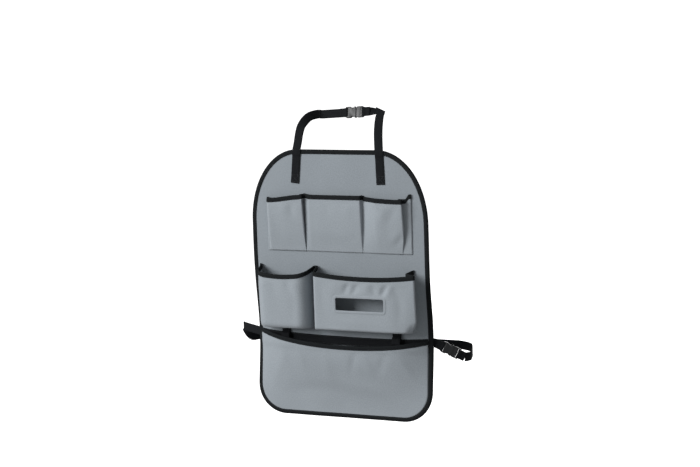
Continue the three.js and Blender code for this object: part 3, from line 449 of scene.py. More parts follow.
def ribbon(name, runs, material, step):
    """Flat webbing with rounded selvedges. A run is a list of stations of a point and the direction of the
    width, or in a fold of a point, the whole way to one edge and the way that the webbing faces."""
    half, thick = size("webbing_width") / 2, size("webbing") / 2
    middles, edges, faces = [], [], []
    for run in runs:
        if len(run[0]) == 3:
            points, edge, face = (np.array(part) for part in zip(*run))
        else:
            points, across = curve_through([p for p, _ in run], [w for _, w in run], step)
            along = unit(np.gradient(points, axis=0))
            side = unit(across - along * np.sum(across * along, axis=1, keepdims=True))
            edge, face = side * half, np.cross(side, along)
        middles, edges, faces = middles + [points], edges + [edge], faces + [face]
    middle, edge, face = (np.concatenate(part) for part in (middles, edges, faces))
    flat = [-0.94, -0.5, 0.0, 0.5, 0.94]
    section = ([(s, thick) for s in flat] + [(0.985, 0.6 * thick), (1.0, 0.0), (0.985, -0.6 * thick)]
               + [(s, -thick) for s in reversed(flat)]
               + [(-0.985, -0.6 * thick), (-1.0, 0.0), (-0.985, 0.6 * thick)])
    return swept(name, np.stack([middle + edge * s + face * t for s, t in section], axis=1), material)


def diagonal_fold(centre, d, w):
    """Stations of webbing that is turned over a diagonal crease. It arrives along d with its width along w,
    and leaves along -w behind itself."""
    half, apart = size("webbing_width") / 2, size("webbing") + GAP
    n, out, reach = np.cross(w, d), unit(w + d), half + FOLD_EASE
    crease, axis = (w - d) * half, centre - n * apart / 2
    stations = [(centre - d * reach, w * half, n)]
    for k in range(FOLD_STEPS + 1):
        a = math.pi * k / FOLD_STEPS
        face = n * math.cos(a) + out * math.sin(a)
        stations.append((axis + face * apart / 2, crease, face))
    return stations + [(centre - n * apart - w * reach, -d * half, -n)]


def mouth_tape(name, path, below, material):
    """Folded tape over a pocket's mouth, which follows the cloth's middle there and a row below it."""
    inner = size("cloth") / 2 + 0.1
    outer = size("cloth") / 2 + GAP + size("tape")
    top, low = GAP + size("tape"), GAP + size("tape") - size("tape_width")
    half = [(inner, 0.1), (inner, low + 0.3), (outer - 0.35, low), (outer, low + 0.5), (outer + 0.1, low / 2),
            (outer, -1.0), (0.72 * outer, 0.72 * top), (0.0, top)]
    section = half + [(-s, t) for s, t in reversed(half[:-1])]
    up = unit(path - below)
    ahead = np.gradient(path, axis=0)
    face = unit(np.stack([ahead[:, 1], -ahead[:, 0], np.zeros(len(path))], axis=1))
    rings = np.stack([path + face * s + up * t for s, t in section], axis=1)
    return swept(name, rings, material)


def finish_piece(piece, slot, *nodes):
    """Lets a piece ride on the body and stand for its CAD nodes. The slot is not used."""
    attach(piece, BODY)
    if nodes:
        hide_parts(*nodes)
    return piece


# Grids of the pockets

def pocket_grid(plan, depth, seams, front, rows, drop, sag):
    """Grid of a pocket. Rows are (height, share of the full depth, reach of the mouth's sag, base layer)."""
    centre, margin = (front[0] + front[1]) / 2, 1.5
    scale = (seams[1] - seams[0] - 2 * margin) / (front[1] - front[0])
    x, y = plan[:, 0], plan[:, 1]
    out = np.clip(-y / depth, 0, 1)
    left = (x < centre) & (x > seams[0] - margin) & (out > 0.001)
    right = (x >= centre) & (x < max(seams[1], front[1]) + margin) & (out > 0.001)
    foot = np.where(left, seams[0] + margin * out + np.maximum(0, x - front[0]) * scale, x)
    foot = np.where(right, seams[1] - margin * out - np.maximum(0, front[1] - x) * scale, foot)
    bow = np.maximum(0, 1 - ((x - centre) / ((front[1] - front[0]) / 2)) ** 2)
    grid = []
    for z, share, hang, base in rows:
        across = lerp(foot, x, share)
        height = z - hang * (drop * out + sag * bow)
        grid.append(np.stack([across, layer(across, height, -base) + y * share, height], axis=1))
    return np.array(grid), out


def taper_rows(top, bottom, foot_share, curve):
    """Rows of a pocket between its mouth and its lower seam."""
    d = depths()
    rows = [[top, 1, 1, d["mouth"]], [top - MOUTH_H, 1, 1, d["mouth"]]]
    for k in range(1, TAPER_STEPS + 1):
        t = k / TAPER_STEPS
        rows.append([lerp(top - MOUTH_H, bottom, t), lerp(1, foot_share, t ** curve), 1 - t,
                     lerp(d["mouth"], d["cloth"], t)])
    return rows


def bag_rows(top, bottom, turn):
    """Rows of a pocket whose front stands off the panel and turns back to it along the bottom."""
    base = depths()["cloth"]
    low = bottom + BAG_FLOOR_RISE
    rows = filled_rows(taper_rows(top, low + turn, 1, 1), CLOTH_STEP)
    for k in range(1, BAG_TURN_STEPS + 1):
        a = math.pi / 2 * k / BAG_TURN_STEPS
        rows.append([low + turn * (1 - math.sin(a)), 1 - BAG_TURN_SHARE * (1 - math.cos(a)), 0, base])
    for k in range(1, BAG_FLOOR_STEPS + 1):
        t = k / BAG_FLOOR_STEPS
        rows.append([lerp(low, bottom, t), (1 - BAG_TURN_SHARE) * (1 - t), 0, base])
    return rows


def pushed(grid, amount):
    """Moves a grid along its own normals, by an amount for each point."""
    return grid + grid_normals(grid) * amount[..., None]


def panel_grid():
    """Grid of the back panel, from its upper edge down."""
    rows = outline(size("tape") + GAP)[::-1][::2]
    share = np.linspace(-1, 1, PANEL_COLUMNS)
    x = rows[:, :1] * share
    z = np.repeat(rows[:, 1:], len(share), axis=1)
    return on_layer(x, z, 0.0)


UPPER_FOLDS = [
    (-106, 470, 10, 16, 8, -1.5), (-124, 466, 16, 20, 10, 0.9), (-146, 440, 16, 40, 12, -0.8),
    (-22, 470, 12, 16, 10, -0.8), (28, 470, -12, 18, 11, 0.7), (-30, 420, 70, 40, 14, 0.6),
    (30, 400, -60, 30, 12, -0.6), (92, 470, 20, 16, 7, -1.6), (112, 466, -16, 22, 9, 1.1),
    (134, 462, -26, 26, 9, -1.2), (146, 402, -38, 24, 8, -1.3), (136, 412, -38, 26, 9, 0.9),
    (104, 424, 10, 40, 13, 0.7),
]


def upper_line(under, rise, right):
    """Plan of the upper strip's three pockets. Its pleats reach a given way under the fronts, of which the
    right one ends at a given x."""
    return rounded_line([
        (UPPER_LEFT_X, 0), (UPPER_LEFT_X + FLANGE, 0, SEAM_R),
        (UPPER_LEFT_X + FLANGE + SIDE_LEAN, -UPPER_DEPTH_LEFT, 2 * SEAM_R),
        (UPPER_EDGE_LEFT_X, -UPPER_DEPTH_LEFT, 1.0), (UPPER_EDGE_LEFT_X - under, -rise, 0.8),
        (UPPER_EDGE_LEFT_X - 1.8, -0.4, 0.4), (UPPER_EDGE_LEFT_X + 4.0, -0.6 * UPPER_DEPTH_MIDDLE, 2.0),
        (UPPER_SEAM_1_X + FLANGE + 2 * SIDE_LEAN, -UPPER_DEPTH_MIDDLE, SEAM_R),
        (UPPER_SEAM_2_X - SIDE_LEAN, -UPPER_DEPTH_MIDDLE, 2.0),
        (UPPER_SEAM_2_X - 0.5, 0, 0.8), (UPPER_SEAM_2_X + 2.5, 0, 1.5),
        (UPPER_SEAM_2_X + UPPER_SLOPE_W, -UPPER_DEPTH_RIGHT, UPPER_SLOPE_R),
        (right, -UPPER_DEPTH_RIGHT, 1.0), (right - 1.3 * under, -rise, 0.8), (UPPER_RIGHT_X - 3, -0.6),
        (UPPER_RIGHT_X, 0),
    ])


def upper_drop(x):
    """How far the upper mouth hangs: it sinks in both outer pockets, and is held up at the pleats' seams."""
    from_seam = x - UPPER_SEAM_2_X
    held_left = UPPER_HELD_LEFT * np.exp(-((x - UPPER_EDGE_LEFT_X - 2) / 7) ** 2)
    held_right = UPPER_HELD_RIGHT * smooth((x - UPPER_RIGHT_X + UPPER_PLEAT_W) / 8)
    return (UPPER_HANG * smooth((UPPER_EDGE_LEFT_X - 3 - x) / UPPER_HANG_L)
            + UPPER_SEAM_HANG * smooth(from_seam / 6) + UPPER_SEAM_HANG * smooth(from_seam / 90)
            - (held_left + held_right))


def upper_grid():
    """Grid of the upper strip with its pleats and soft folds. The pleats run out at the hem."""
    edge = UPPER_RIGHT_X - UPPER_PLEAT_W - SIDE_LEAN
    mouth = upper_line(UPPER_UNDER_W, UPPER_UNDER_RISE, edge)
    hem = upper_line(UPPER_HEM_UNDER_W, UPPER_HEM_RISE, edge - UPPER_HEM_SHIFT)
    plan = filled(np.hstack([mouth, hem]), CLOTH_STEP)
    rows = filled_rows(taper_rows(UPPER_TOP_Z, UPPER_HEM_Z, UPPER_FOOT_SHARE, 1.3), CLOTH_STEP)
    grid = []
    for z, share, hang, base in rows:
        x, y = lerp(plan[:, 2:], plan[:, :2], smooth((share - UPPER_FOOT_SHARE) * 2.5)).T
        height = z - hang * upper_drop(x)
        grid.append(np.stack([x, layer(x, height, -base) + y * share, height], 1))
    grid = np.array(grid)
    out = np.clip(-plan[:, 1] / UPPER_DEPTH_MIDDLE, 0, 1)[None]
    body = smooth((UPPER_TOP_Z - MOUTH_H - grid[..., 2]) / 14) * smooth((grid[..., 2] - UPPER_HEM_Z) / 40)
    down = np.clip((UPPER_TOP_Z - grid[..., 2]) / (UPPER_TOP_Z - UPPER_HEM_Z), 0, 1)
    puff = UPPER_PUFF * np.sin(down * math.pi)
    return pushed(grid, out * body * (puff + folds(grid, UPPER_FOLDS)))


SNUG_FOLDS = [
    (-106, 306, 20, 20, 9, -1.7), (-88, 300, 30, 30, 10, 1.2), (-140, 302, 14, 26, 11, -1.0),
    (-160, 300, 22, 40, 12, 0.8), (-92, 256, -6, 44, 12, -0.9), (-160, 246, 10, 50, 14, 0.9),
]


def snug_grid():
    """Grid of the snug pocket on the left of the lower row."""
    front = (SNUG_LEFT_X + SNUG_INSET_LEFT, SNUG_RIGHT_X - SNUG_INSET_RIGHT)
    plan = filled(rounded_line([
        (SNUG_LEFT_X - FLANGE, 0), (SNUG_LEFT_X, 0, SEAM_R), (front[0], -SNUG_DEPTH, SNUG_CORNER_LEFT_R),
        (front[1], -SNUG_DEPTH, SNUG_CORNER_RIGHT_R), (SNUG_RIGHT_X, 0, SEAM_R),
        (SNUG_RIGHT_X + SHARED_FLANGE, 0),
    ], 9), CLOTH_STEP)
    grid, out = pocket_grid(plan, SNUG_DEPTH, (SNUG_LEFT_X, SNUG_RIGHT_X), front,
                            bag_rows(LOWER_TOP_Z, LOWER_SEAM_Z, SNUG_TURN), SNUG_DROP, SNUG_SAG)
    free = front_share(grid, out, SNUG_FREE_H)
    return pushed(grid, free * (SNUG_PUFF + folds(grid, SNUG_FOLDS)))


def front_share(grid, out, free_height):
    """How freely each point of a bag pocket moves: not at its seams and mouth, and fully in its front."""
    z = grid[..., 2]
    from_floor = smooth((z - LOWER_SEAM_Z - BAG_FLOOR_RISE) / free_height)
    from_mouth = smooth((LOWER_TOP_Z - SNUG_DROP - MOUTH_H - z) / 16)
    return smooth((out[None] - 0.5) * 2) * from_floor * from_mouth


BOX_FOLDS = [
    (34, 304, -22, 18, 7, -3.2), (55, 303, -26, 20, 7, -2.8), (80, 303, -14, 20, 9, 1.1),
    (98, 300, 16, 22, 8, -2.4), (121, 297, -28, 26, 7, -3.8), (132, 301, -26, 26, 8, 1.6),
    (150, 296, 12, 30, 9, -1.4), (4, 298, 8, 32, 11, 1.0), (-24, 284, 4, 40, 11, -1.2),
    (158, 262, -6, 36, 11, -1.3), (60, 226, 88, 60, 10, 0.9), (-8, 228, 60, 30, 10, -0.9),
]


def box_plan():
    return filled(rounded_line([
        (BOX_LEFT_X - SHARED_FLANGE, 0), (BOX_LEFT_X, 0, SEAM_R),
        (BOX_FRONT_LEFT_X, -BOX_DEPTH, BOX_CORNER_R), (BOX_FRONT_RIGHT_X, -BOX_DEPTH, BOX_PINCH_R),
        (BOX_GUSSET_X, -BOX_GUSSET_Y, BOX_CORNER_R), (BOX_RIGHT_X, 0, SEAM_R), (BOX_RIGHT_X + FLANGE, 0),
    ], 6), CLOTH_STEP, (SLOT_CENTRE_X - SLOT_W / 2, SLOT_CENTRE_X + SLOT_W / 2))


def box_rows():
    """Rows of the tissue pocket, with one at each of the slot's edges."""
    rows = bag_rows(LOWER_TOP_Z, LOWER_SEAM_Z, BOX_TURN)
    d = depths()
    low = LOWER_SEAM_Z + BAG_FLOOR_RISE + BOX_TURN
    top = LOWER_TOP_Z - MOUTH_H
    body = [[z, 1, 1 if z == top else 0, lerp(d["mouth"], d["cloth"], (top - z) / (top - low))]
            for z in (top, SLOT_BOTTOM_Z + SLOT_H, SLOT_BOTTOM_Z, low)]
    head = [r for r in rows if r[0] > top + 0.1]
    tail = [r for r in rows if r[0] < low - 0.1 or (abs(r[0] - low) < 0.1 and r[1] < 1)]
    return head + filled_rows(body, CLOTH_STEP) + tail


def box_grid():
    """Grid of the tissue pocket, with its slack folds and the pinched lower right corner."""
    plan = box_plan()
    grid, out = pocket_grid(plan, BOX_DEPTH, (BOX_LEFT_X, BOX_RIGHT_X), (BOX_FRONT_LEFT_X, BOX_FRONT_RIGHT_X),
                            box_rows(), BOX_DROP, BOX_SAG)
    slot = slot_distance(grid[..., 0], grid[..., 2])
    calm = smooth(slot / 14)
    free = front_share(grid, out, BOX_FREE_H) * calm
    grid = pushed(grid, free * folds(grid, BOX_FOLDS))
    away = np.hypot(grid[..., 0] - BOX_FRONT_RIGHT_X, grid[..., 2] - LOWER_SEAM_Z)
    shared = smooth(1 - away / PINCH_REACH) * smooth((out[None] - 0.3) * 2)
    grid[..., 0] -= PINCH_X * shared
    grid[..., 1] += PINCH_Y * shared
    return grid


def slot_loop(out, radius):
    """A closed line round the slot, a given way outside it."""
    x0, x1 = SLOT_CENTRE_X - SLOT_W / 2 - out, SLOT_CENTRE_X + SLOT_W / 2 + out
    z0, z1 = SLOT_BOTTOM_Z - out, SLOT_BOTTOM_Z + SLOT_H + out
    return filled(rounded_line([
        (SLOT_CENTRE_X, z0), (x1, z0, radius), (x1, z1, radius), (x0, z1, radius), (x0, z0, radius),
        (SLOT_CENTRE_X, z0),
    ]), SLOT_STEP)


def slot_distance(x, z):
    """Distance from the slot's outline, outside it."""
    dx = np.maximum(0, np.abs(x - SLOT_CENTRE_X) - SLOT_W / 2)
    dz = np.maximum(0, np.abs(z - SLOT_BOTTOM_Z - SLOT_H / 2) - SLOT_H / 2)
    return np.hypot(dx, dz)


MAP_FOLDS = [
    (-92, 136, 14, 26, 10, 1.0), (-120, 130, 26, 34, 10, -1.2), (34, 134, -14, 24, 9, -1.5),
    (66, 132, 22, 26, 10, 1.1), (102, 134, -24, 26, 10, -1.3), (-30, 124, 10, 34, 12, 0.9),
    (152, 126, 32, 38, 11, 1.2), (-150, 112, -24, 44, 12, 1.1), (40, 76, 84, 80, 17, 1.5),
    (-70, 62, 96, 70, 17, -1.4), (128, 66, 60, 56, 15, -1.5),
]


def map_grid():
    """Grid of the map pocket, from its mouth down. Its edges are caught in the edge tape."""
    lap = size("tape_width") + GAP
    edge = outline(lap)
    edge = edge[edge[:, 1] < MAP_TOP_Z - MOUTH_H - size("tape_width")]
    side = PANEL_W / 2 - lap
    upper = filled(np.array([edge[-1], [side, MAP_TOP_Z - MOUTH_H], [side, MAP_TOP_Z]]), CLOTH_STEP)[1:]
    rows = np.concatenate([edge, upper])[::-1]
    foot = edge[0, 1]
    share = np.linspace(-1, 1, MAP_COLUMNS)
    half, z = rows[:, :1], rows[:, 1:]
    up = np.clip((z - foot) / (MAP_TOP_Z - MOUTH_H - foot), 0, 1)
    x = share * half
    height = z - (MAP_SAG * (1 - share ** 2) + MAP_LEAN * share) * up ** 2
    d = depths()
    # The belt's webbing crosses the panel behind the mouth.
    base = lerp(d["cloth"], d["mouth"], smooth(up)) + (size("webbing") + GAP) * smooth((height - 150) / 16)
    y = layer(x, height, -base) - MAP_DEPTH * (1 - np.abs(share) ** 3) * smooth(up)
    grid = np.stack([x, y, height], axis=2)
    free = smooth((height - foot) / 24) * smooth((MAP_TOP_Z - MOUTH_H - z) / 14)
    return pushed(grid, smooth((1 - np.abs(share)) * 6) * free * folds(grid, MAP_FOLDS))


# Materials

def shown(value):
    """What to link to an input: a node's first output in use, or the value itself."""
    return next(s for s in value.outputs if s.enabled) if isinstance(value, bpy.types.Node) else value


def node(tree, kind, inputs=None, **settings):
    """Adds a node with its settings, and sets or links its inputs."""
    made = tree.nodes.new(kind)
    for name, value in settings.items():
        setattr(made, name, value)
    for key, value in (inputs or {}).items():
        value = shown(value)
        if isinstance(value, bpy.types.NodeSocket):
            tree.links.new(value, made.inputs[key])
        else:
            made.inputs[key].default_value = value
    return made


def surface(name, build, **values):
    """A material of one principled shader. build adds its patterns and returns what to link to it."""
    if name in bpy.data.materials:
        return bpy.data.materials[name]
    material = bpy.data.materials.new(name)
    material.use_nodes = True
    tree = material.node_tree
    shader = tree.nodes["Principled BSDF"]
    for socket, value in values.items():
        shader.inputs[socket.replace("_", " ")].default_value = value
    for socket, value in build(tree).items():
        tree.links.new(shown(value), shader.inputs[socket])
    return material


def shade(rgba, times):
    return (*(min(1.0, c * times) for c in rgba[:3]), 1.0)


def sine_of(tree, value, period_mm):
    """A sine of a distance in millimetres."""
    turned = node(tree, "ShaderNodeMath", {0: value, 1: 2 * math.pi / period_mm}, operation="MULTIPLY")
    return node(tree, "ShaderNodeMath", {0: turned}, operation="SINE")


def weave_axes(tree):
    """Millimetres on the cloth: across and along it together, across it, and along it."""
    uv = node(tree, "ShaderNodeUVMap", uv_map="weave")
    axes = node(tree, "ShaderNodeSeparateXYZ", {0: uv}).outputs
    return uv, axes[0], axes[1]


def relief(tree, base, factor, dark, light, height, strength, depth):
    """A colour between two shades of the base, and a relief of a given depth in metres."""
    tone = node(tree, "ShaderNodeMix", {0: factor, 6: shade(base, dark), 7: shade(base, light)},
                data_type="RGBA")
    bump = node(tree, "ShaderNodeBump", {"Strength": strength, "Distance": depth, "Height": height})
    return {"Base Color": tone, "Normal": bump}


def woven_cloth(key="cloth"):
    """Plain woven polyester with a matt backing: fine grain, faint slubs and a soft pale sheen on folds."""
    base = paint(key)

    def build(tree):
        uv, u, v = weave_axes(tree)
        # The real threads are about 0.6 mm apart. They are drawn at 1.7 mm, because finer ones don't show.
        warp, weft = sine_of(tree, u, 3.4), sine_of(tree, v, 3.4)
        checks = node(tree, "ShaderNodeMath", {0: warp, 1: weft}, operation="MULTIPLY")
        # Slubs, where a thread is thicker for some 6 mm, run along both directions.
        slubs = []
        for stretch in ((0.16, 0.9, 1.0), (0.9, 0.16, 1.0)):
            drawn = node(tree, "ShaderNodeMapping", {0: uv, 3: stretch})
            slubs.append(node(tree, "ShaderNodeTexNoise", {"Vector": drawn, "Scale": 1.0, "Detail": 2.0}))
        slubs = node(tree, "ShaderNodeMath", dict(enumerate(slubs)), operation="MULTIPLY")
        # Handling leaves patches some 70 mm wide a little lighter or darker.
        soft = node(tree, "ShaderNodeTexNoise", {"Vector": uv, "Scale": 0.014, "Detail": 3.0})
        # Knots of thicker thread, really some 1 mm wide, are drawn 2.4 mm wide so that the grain shows.
        knots = node(tree, "ShaderNodeTexNoise", {"Vector": uv, "Scale": 0.42, "Detail": 2.0})
        spread, grain, knotted = (
            node(tree, "ShaderNodeMapRange", {0: value, 1: low, 2: high})
            for value, low, high in ((soft, 0.3, 0.7), (slubs, 0.12, 0.4), (knots, 0.34, 0.66)))
        tone = shade(base, 1.04)
        for factor, dark in ((spread, 0.95), (grain, 0.9)):
            tone = node(tree, "ShaderNodeMix", {0: factor, 6: shade(base, dark), 7: tone}, data_type="RGBA")
        dark, light = (
            node(tree, "ShaderNodeMix", {0: 1.0, 6: tone, 7: (times, times, times, 1.0)}, data_type="RGBA",
                 blend_type="MULTIPLY") for times in (0.92, 1.07))
        tone = node(tree, "ShaderNodeMix", {0: knotted, 6: dark, 7: light}, data_type="RGBA")
        # The thread's height is about 0.2 mm, and a slub adds as much.
        height = node(tree, "ShaderNodeMath", {0: checks, 1: slubs}, operation="ADD")
        bump = node(tree, "ShaderNodeBump", {"Strength": 0.5, "Distance": 0.0002, "Height": height})
        return {"Base Color": tone, "Normal": bump}
    return surface(f"woven_polyester_{key}", build, Roughness=0.82, Sheen_Weight=0.18, Sheen_Roughness=0.45,
                   Specular_IOR_Level=0.3)


def folded_tape():
    """Woven polypropylene edge tape: nearly black, with cross ribs and a dull gloss on the turned edge."""
    def build(tree):
        uv, _, v = weave_axes(tree)
        # Cross ribs of such tape are 0.8 mm apart, drawn at 1.8 mm so that they show.
        ribs = sine_of(tree, v, 1.8)
        fluff = node(tree, "ShaderNodeTexNoise", {"Vector": uv, "Scale": 0.5, "Detail": 3.0})
        height = node(tree, "ShaderNodeMath", {0: ribs, 1: fluff}, operation="ADD")
        return relief(tree, paint("tape"), fluff, 0.7, 1.6, height, 0.6, 0.00025)
    return surface("woven_edge_tape", build, Roughness=0.75, Specular_IOR_Level=0.14)


def strap_webbing():
    """Polypropylene webbing: black, with strong cross ribs whose crowns carry a painted highlight, flecked by
    fluff.
    """
    def build(tree):
        uv, u, v = weave_axes(tree)
        # Ribs of 20 mm webbing are 1.2 mm apart, drawn at 2.4 mm, and warp cords lie 1.5 mm apart.
        ribs, cords = sine_of(tree, v, 2.4), sine_of(tree, u, 3.0)
        cross = node(tree, "ShaderNodeMath", {0: ribs, 1: cords}, operation="MULTIPLY")
        weave = node(tree, "ShaderNodeMath", {0: cross, 1: ribs}, operation="ADD")
        fluff = node(tree, "ShaderNodeTexNoise", {"Vector": uv, "Scale": 0.4, "Detail": 3.0})
        crown = node(tree, "ShaderNodeMapRange", {0: weave, 1: -1.5, 2: 1.5})
        # Painted highlight: the colour is lighter on the ribs' crowns, as if they caught the light, and it
        # varies with the fluff's noise.
        crown_highlight_and_fluff = node(tree, "ShaderNodeMath", {0: crown, 1: fluff}, operation="MULTIPLY")
        return relief(tree, paint("webbing"), crown_highlight_and_fluff, 0.65, 1.9, weave, 0.7, 0.0004)
    return surface("polypropylene_webbing", build, Roughness=0.7, Specular_IOR_Level=0.12)


def moulded_plastic():
    """Injection moulded acetal: black, with a fine satin grain and soft grey highlights on its faces."""
    def build(tree):
        place = node(tree, "ShaderNodeTexCoord").outputs["Object"]
        # The mould's spark grain is about 0.3 mm, drawn at 0.6 mm.
        grain = node(tree, "ShaderNodeTexNoise", {"Vector": place, "Scale": 1600.0, "Detail": 2.0})
        # Rubbed patches some 8 mm wide shine more.
        rubbed = node(tree, "ShaderNodeTexNoise", {"Vector": place, "Scale": 120.0, "Detail": 3.0})
        rough = node(tree, "ShaderNodeMapRange", {0: rubbed, 1: 0.3, 2: 0.7, 3: 0.4, 4: 0.48})
        made = relief(tree, paint("plastic"), rubbed, 0.8, 1.5, grain, 0.04, 0.0001)
        return {**made, "Roughness": rough}
    return surface("moulded_acetal", build, IOR=1.48, Specular_IOR_Level=0.45)


def sewing_thread(name, key):
    """Twisted polyester thread: a fine diagonal twist with a slight gloss."""
    def build(tree):
        place = node(tree, "ShaderNodeTexCoord").outputs["Object"]
        # The two plies turn once in about 1.2 mm.
        twist = node(tree, "ShaderNodeTexNoise", {"Vector": place, "Scale": 900.0, "Detail": 1.0})
        return relief(tree, paint(key), twist, 0.8, 1.2, twist, 0.3, 0.0001)
    return surface(name, build, Roughness=0.55, Sheen_Weight=0.1)


def painted_floor():
    """Smooth matt studio floor: white paint with a barely visible mottle."""
    base = paint("floor")

    def build(tree):
        place = node(tree, "ShaderNodeTexCoord").outputs["Object"]
        mottle = node(tree, "ShaderNodeTexNoise", {"Vector": place, "Scale": 3.0, "Detail": 3.0})
        return {"Base Color": node(tree, "ShaderNodeMix", {0: mottle, 6: shade(base, 0.99), 7: base},
                                   data_type="RGBA")}
    return surface("matt_white_paint", build, Roughness=0.9, Specular_IOR_Level=0.1, Emission_Strength=0.7,
                   Emission_Color=(1.0, 1.0, 1.0, 1.0))


# Operators

class BuildStage(bpy.types.Operator):
    """Adds the camera, the pale floor with its backdrop and the soft studio light"""
    bl_idname = "organizer.stage"
    bl_label = "Studio"
    bl_options = {"REGISTER", "UNDO"}

    def execute(self, context):
        scene = context.scene
        azimuth, elevation, roll = (math.radians(a) for a in (VIEW_AZIMUTH, VIEW_ELEVATION, VIEW_ROLL))
        back = Vector((math.sin(azimuth) * math.cos(elevation), -math.cos(azimuth) * math.cos(elevation),
                       math.sin(elevation)))
        right = (-back).cross(Vector((0, 0, 1))).normalized()
        up = right.cross(-back)
        across = math.cos(roll) * right + math.sin(roll) * up
        above = math.cos(roll) * up - math.sin(roll) * right
        data = bpy.data.cameras.new("camera")
        data.sensor_width = SENSOR_MM
        data.lens = FOCAL_PX / PHOTO_W_PX * SENSOR_MM
        camera = bpy.data.objects.new("camera", data)
        place = Matrix((across, above, back)).transposed().to_4x4()
        place.translation = Vector(VIEW_TARGET) + back * VIEW_DISTANCE
        camera.matrix_world = place
        context.collection.objects.link(camera)
        scene.camera = camera
        self.floor(context)
        for name, (spot, width, power) in LIGHTS.items():
            self.light(context, name, spot, width, power)
        scene.view_settings.view_transform = "Standard"
        world = bpy.data.worlds.new("studio")
        world.use_nodes = True
        sky = world.node_tree.nodes["Background"]
        sky.inputs["Color"].default_value = (1.0, 1.0, 1.0, 1.0)
        sky.inputs["Strength"].default_value = SKY_STRENGTH
        scene.world = world
        return {"FINISHED"}

    def floor(self, context):
        """A round floor that curves up into a backdrop on all sides, so that every view ends on it."""
        inner = FLOOR_REACH - FLOOR_BEND
        profile = [(r, FLOOR_Z) for r in (0.5, 1.2, 2.2, inner)]
        for k in range(1, 13):
            a = math.pi / 2 * k / 12
            profile.append((inner + FLOOR_BEND * math.sin(a), FLOOR_Z + FLOOR_BEND * (1 - math.cos(a))))
        profile.append((FLOOR_REACH, FLOOR_TOP))
        turns = FLOOR_TURNS
        points = [(r * math.cos(2 * math.pi * k / turns), r * math.sin(2 * math.pi * k / turns), z)
                  for r, z in profile for k in range(turns)]
        faces = [[i * turns + k, (i + 1) * turns + k, (i + 1) * turns + (k + 1) % turns,
                  i * turns + (k + 1) % turns] for i in range(len(profile) - 1) for k in range(turns)]
        mesh = bpy.data.meshes.new("floor")
        mesh.from_pydata(points, [], faces + [list(range(turns))])
        smooth_shaded(mesh)
        mesh.materials.append(painted_floor())
        floor = bpy.data.objects.new("floor", mesh)
        floor.visible_diffuse = False
        floor.visible_glossy = False
        context.collection.objects.link(floor)

    def light(self, context, name, place, width, power):
        """A square soft light that faces the organizer."""
        data = bpy.data.lights.new(name, "AREA")
        data.shape = "SQUARE"
        data.size = width
        data.energy = power
        lamp = bpy.data.objects.new(name, data)
        lamp.location = place
        aim = Vector(LIGHT_AIM) - Vector(place)
        lamp.rotation_euler = aim.to_track_quat("-Z", "Y").to_euler()
        context.collection.objects.link(lamp)


class BuildPanel(bpy.types.Operator):
    """Builds the back panel and the tape that binds its edge"""
    bl_idname = "organizer.back_panel"
    bl_label = "Back panel"
    bl_options = {"REGISTER", "UNDO"}

    def execute(self, context):
        grid = panel_grid()
        # The panel's cloth takes the darker panel grey, a painted shade of the pockets' cloth.
        cloth = cloth_sheet("panel_cloth", grid, PANEL_T, woven_cloth("panel"))
        panel = finish_piece(cloth, "grey_cloth", "back_panel")
        binding = finish_piece(self.binding(), "black_tape", "edge_binding")
        return {"FINISHED"}

    def binding(self):
        """Edge tape, folded over the panel's rim, with a rounded outer edge."""
        d, wide, thick = depths(), size("tape_width"), size("tape")
        inner = PANEL_T / 2 + 0.1
        front = [(wide, -inner), (wide + 0.2, -inner - 0.5), (wide - 0.4, -d["binding"] - 0.05),
                 (wide / 2, -d["binding"] - 0.25), (2.0, -d["binding"] - 0.1), (0.6, -0.72 * d["binding"]),
                 (0.0, -0.3 * d["binding"])]
        section = front + [(s, -y) for s, y in reversed(front)] + [(thick, inner), (thick, -inner)]
        halves = [outline(s) for s, _ in section]
        rings, left = (
            np.stack([on_layer(side * h[:, 0], h[:, 1], y) for h, (_, y) in zip(halves, section)], axis=1)
            for side in (1, -1))
        top = self.run(rings[-1], left[-1])
        foot = self.run(left[0], rings[0])
        return swept("edge_tape", np.concatenate([rings, top, left[::-1], foot]), folded_tape(), closed=True)

    def run(self, start, end):
        """Rings between two that face each other across the panel, without the two themselves."""
        count = int(np.linalg.norm(start[0] - end[0]) / 4)
        out = []
        for k in range(1, count):
            ring = lerp(start, end, k / count)
            ring[:, 1] += ground(ring[:, 0], ring[:, 2]) - lerp(
                ground(start[:, 0], start[:, 2]), ground(end[:, 0], end[:, 2]), k / count)
            out.append(ring)
        return np.array(out)


def sewn_pocket(key, name, stands_for, grid, hole=None, hem=None):
    """A pocket's cloth and the tape over its mouth. hem makes one more piece, which is part of the cloth."""
    cloth = cloth_sheet(name, grid, size("cloth"), woven_cloth(), hole)
    cloth = finish_piece(cloth, "grey_cloth", stands_for)
    tape = mouth_tape(f"{key}_mouth_tape", grid[0], grid[TAPE_ROW], folded_tape())
    sewn_on = [finish_piece(tape, "black_tape", f"{key}_pocket_binding")]
    if hem:
        sewn_on.append(finish_piece(hem(grid), "grey_cloth", stands_for))


class BuildUpperPockets(bpy.types.Operator):
    """Builds the upper row: one strip of cloth sewn into three pockets, and its tape"""
    bl_idname = "organizer.upper_pockets"
    bl_label = "Upper pockets"
    bl_options = {"REGISTER", "UNDO"}

    def execute(self, context):
        sewn_pocket("upper", "upper_pockets", "upper_pocket_strip", upper_grid())
        return {"FINISHED"}


class BuildSnugPocket(bpy.types.Operator):
    """Builds the snug pocket on the left of the lower row"""
    bl_idname = "organizer.snug_pocket"
    bl_label = "Snug pocket"
    bl_options = {"REGISTER", "UNDO"}

    def execute(self, context):
        sewn_pocket("snug", "snug_pocket_cloth", "snug_pocket", snug_grid())
        return {"FINISHED"}


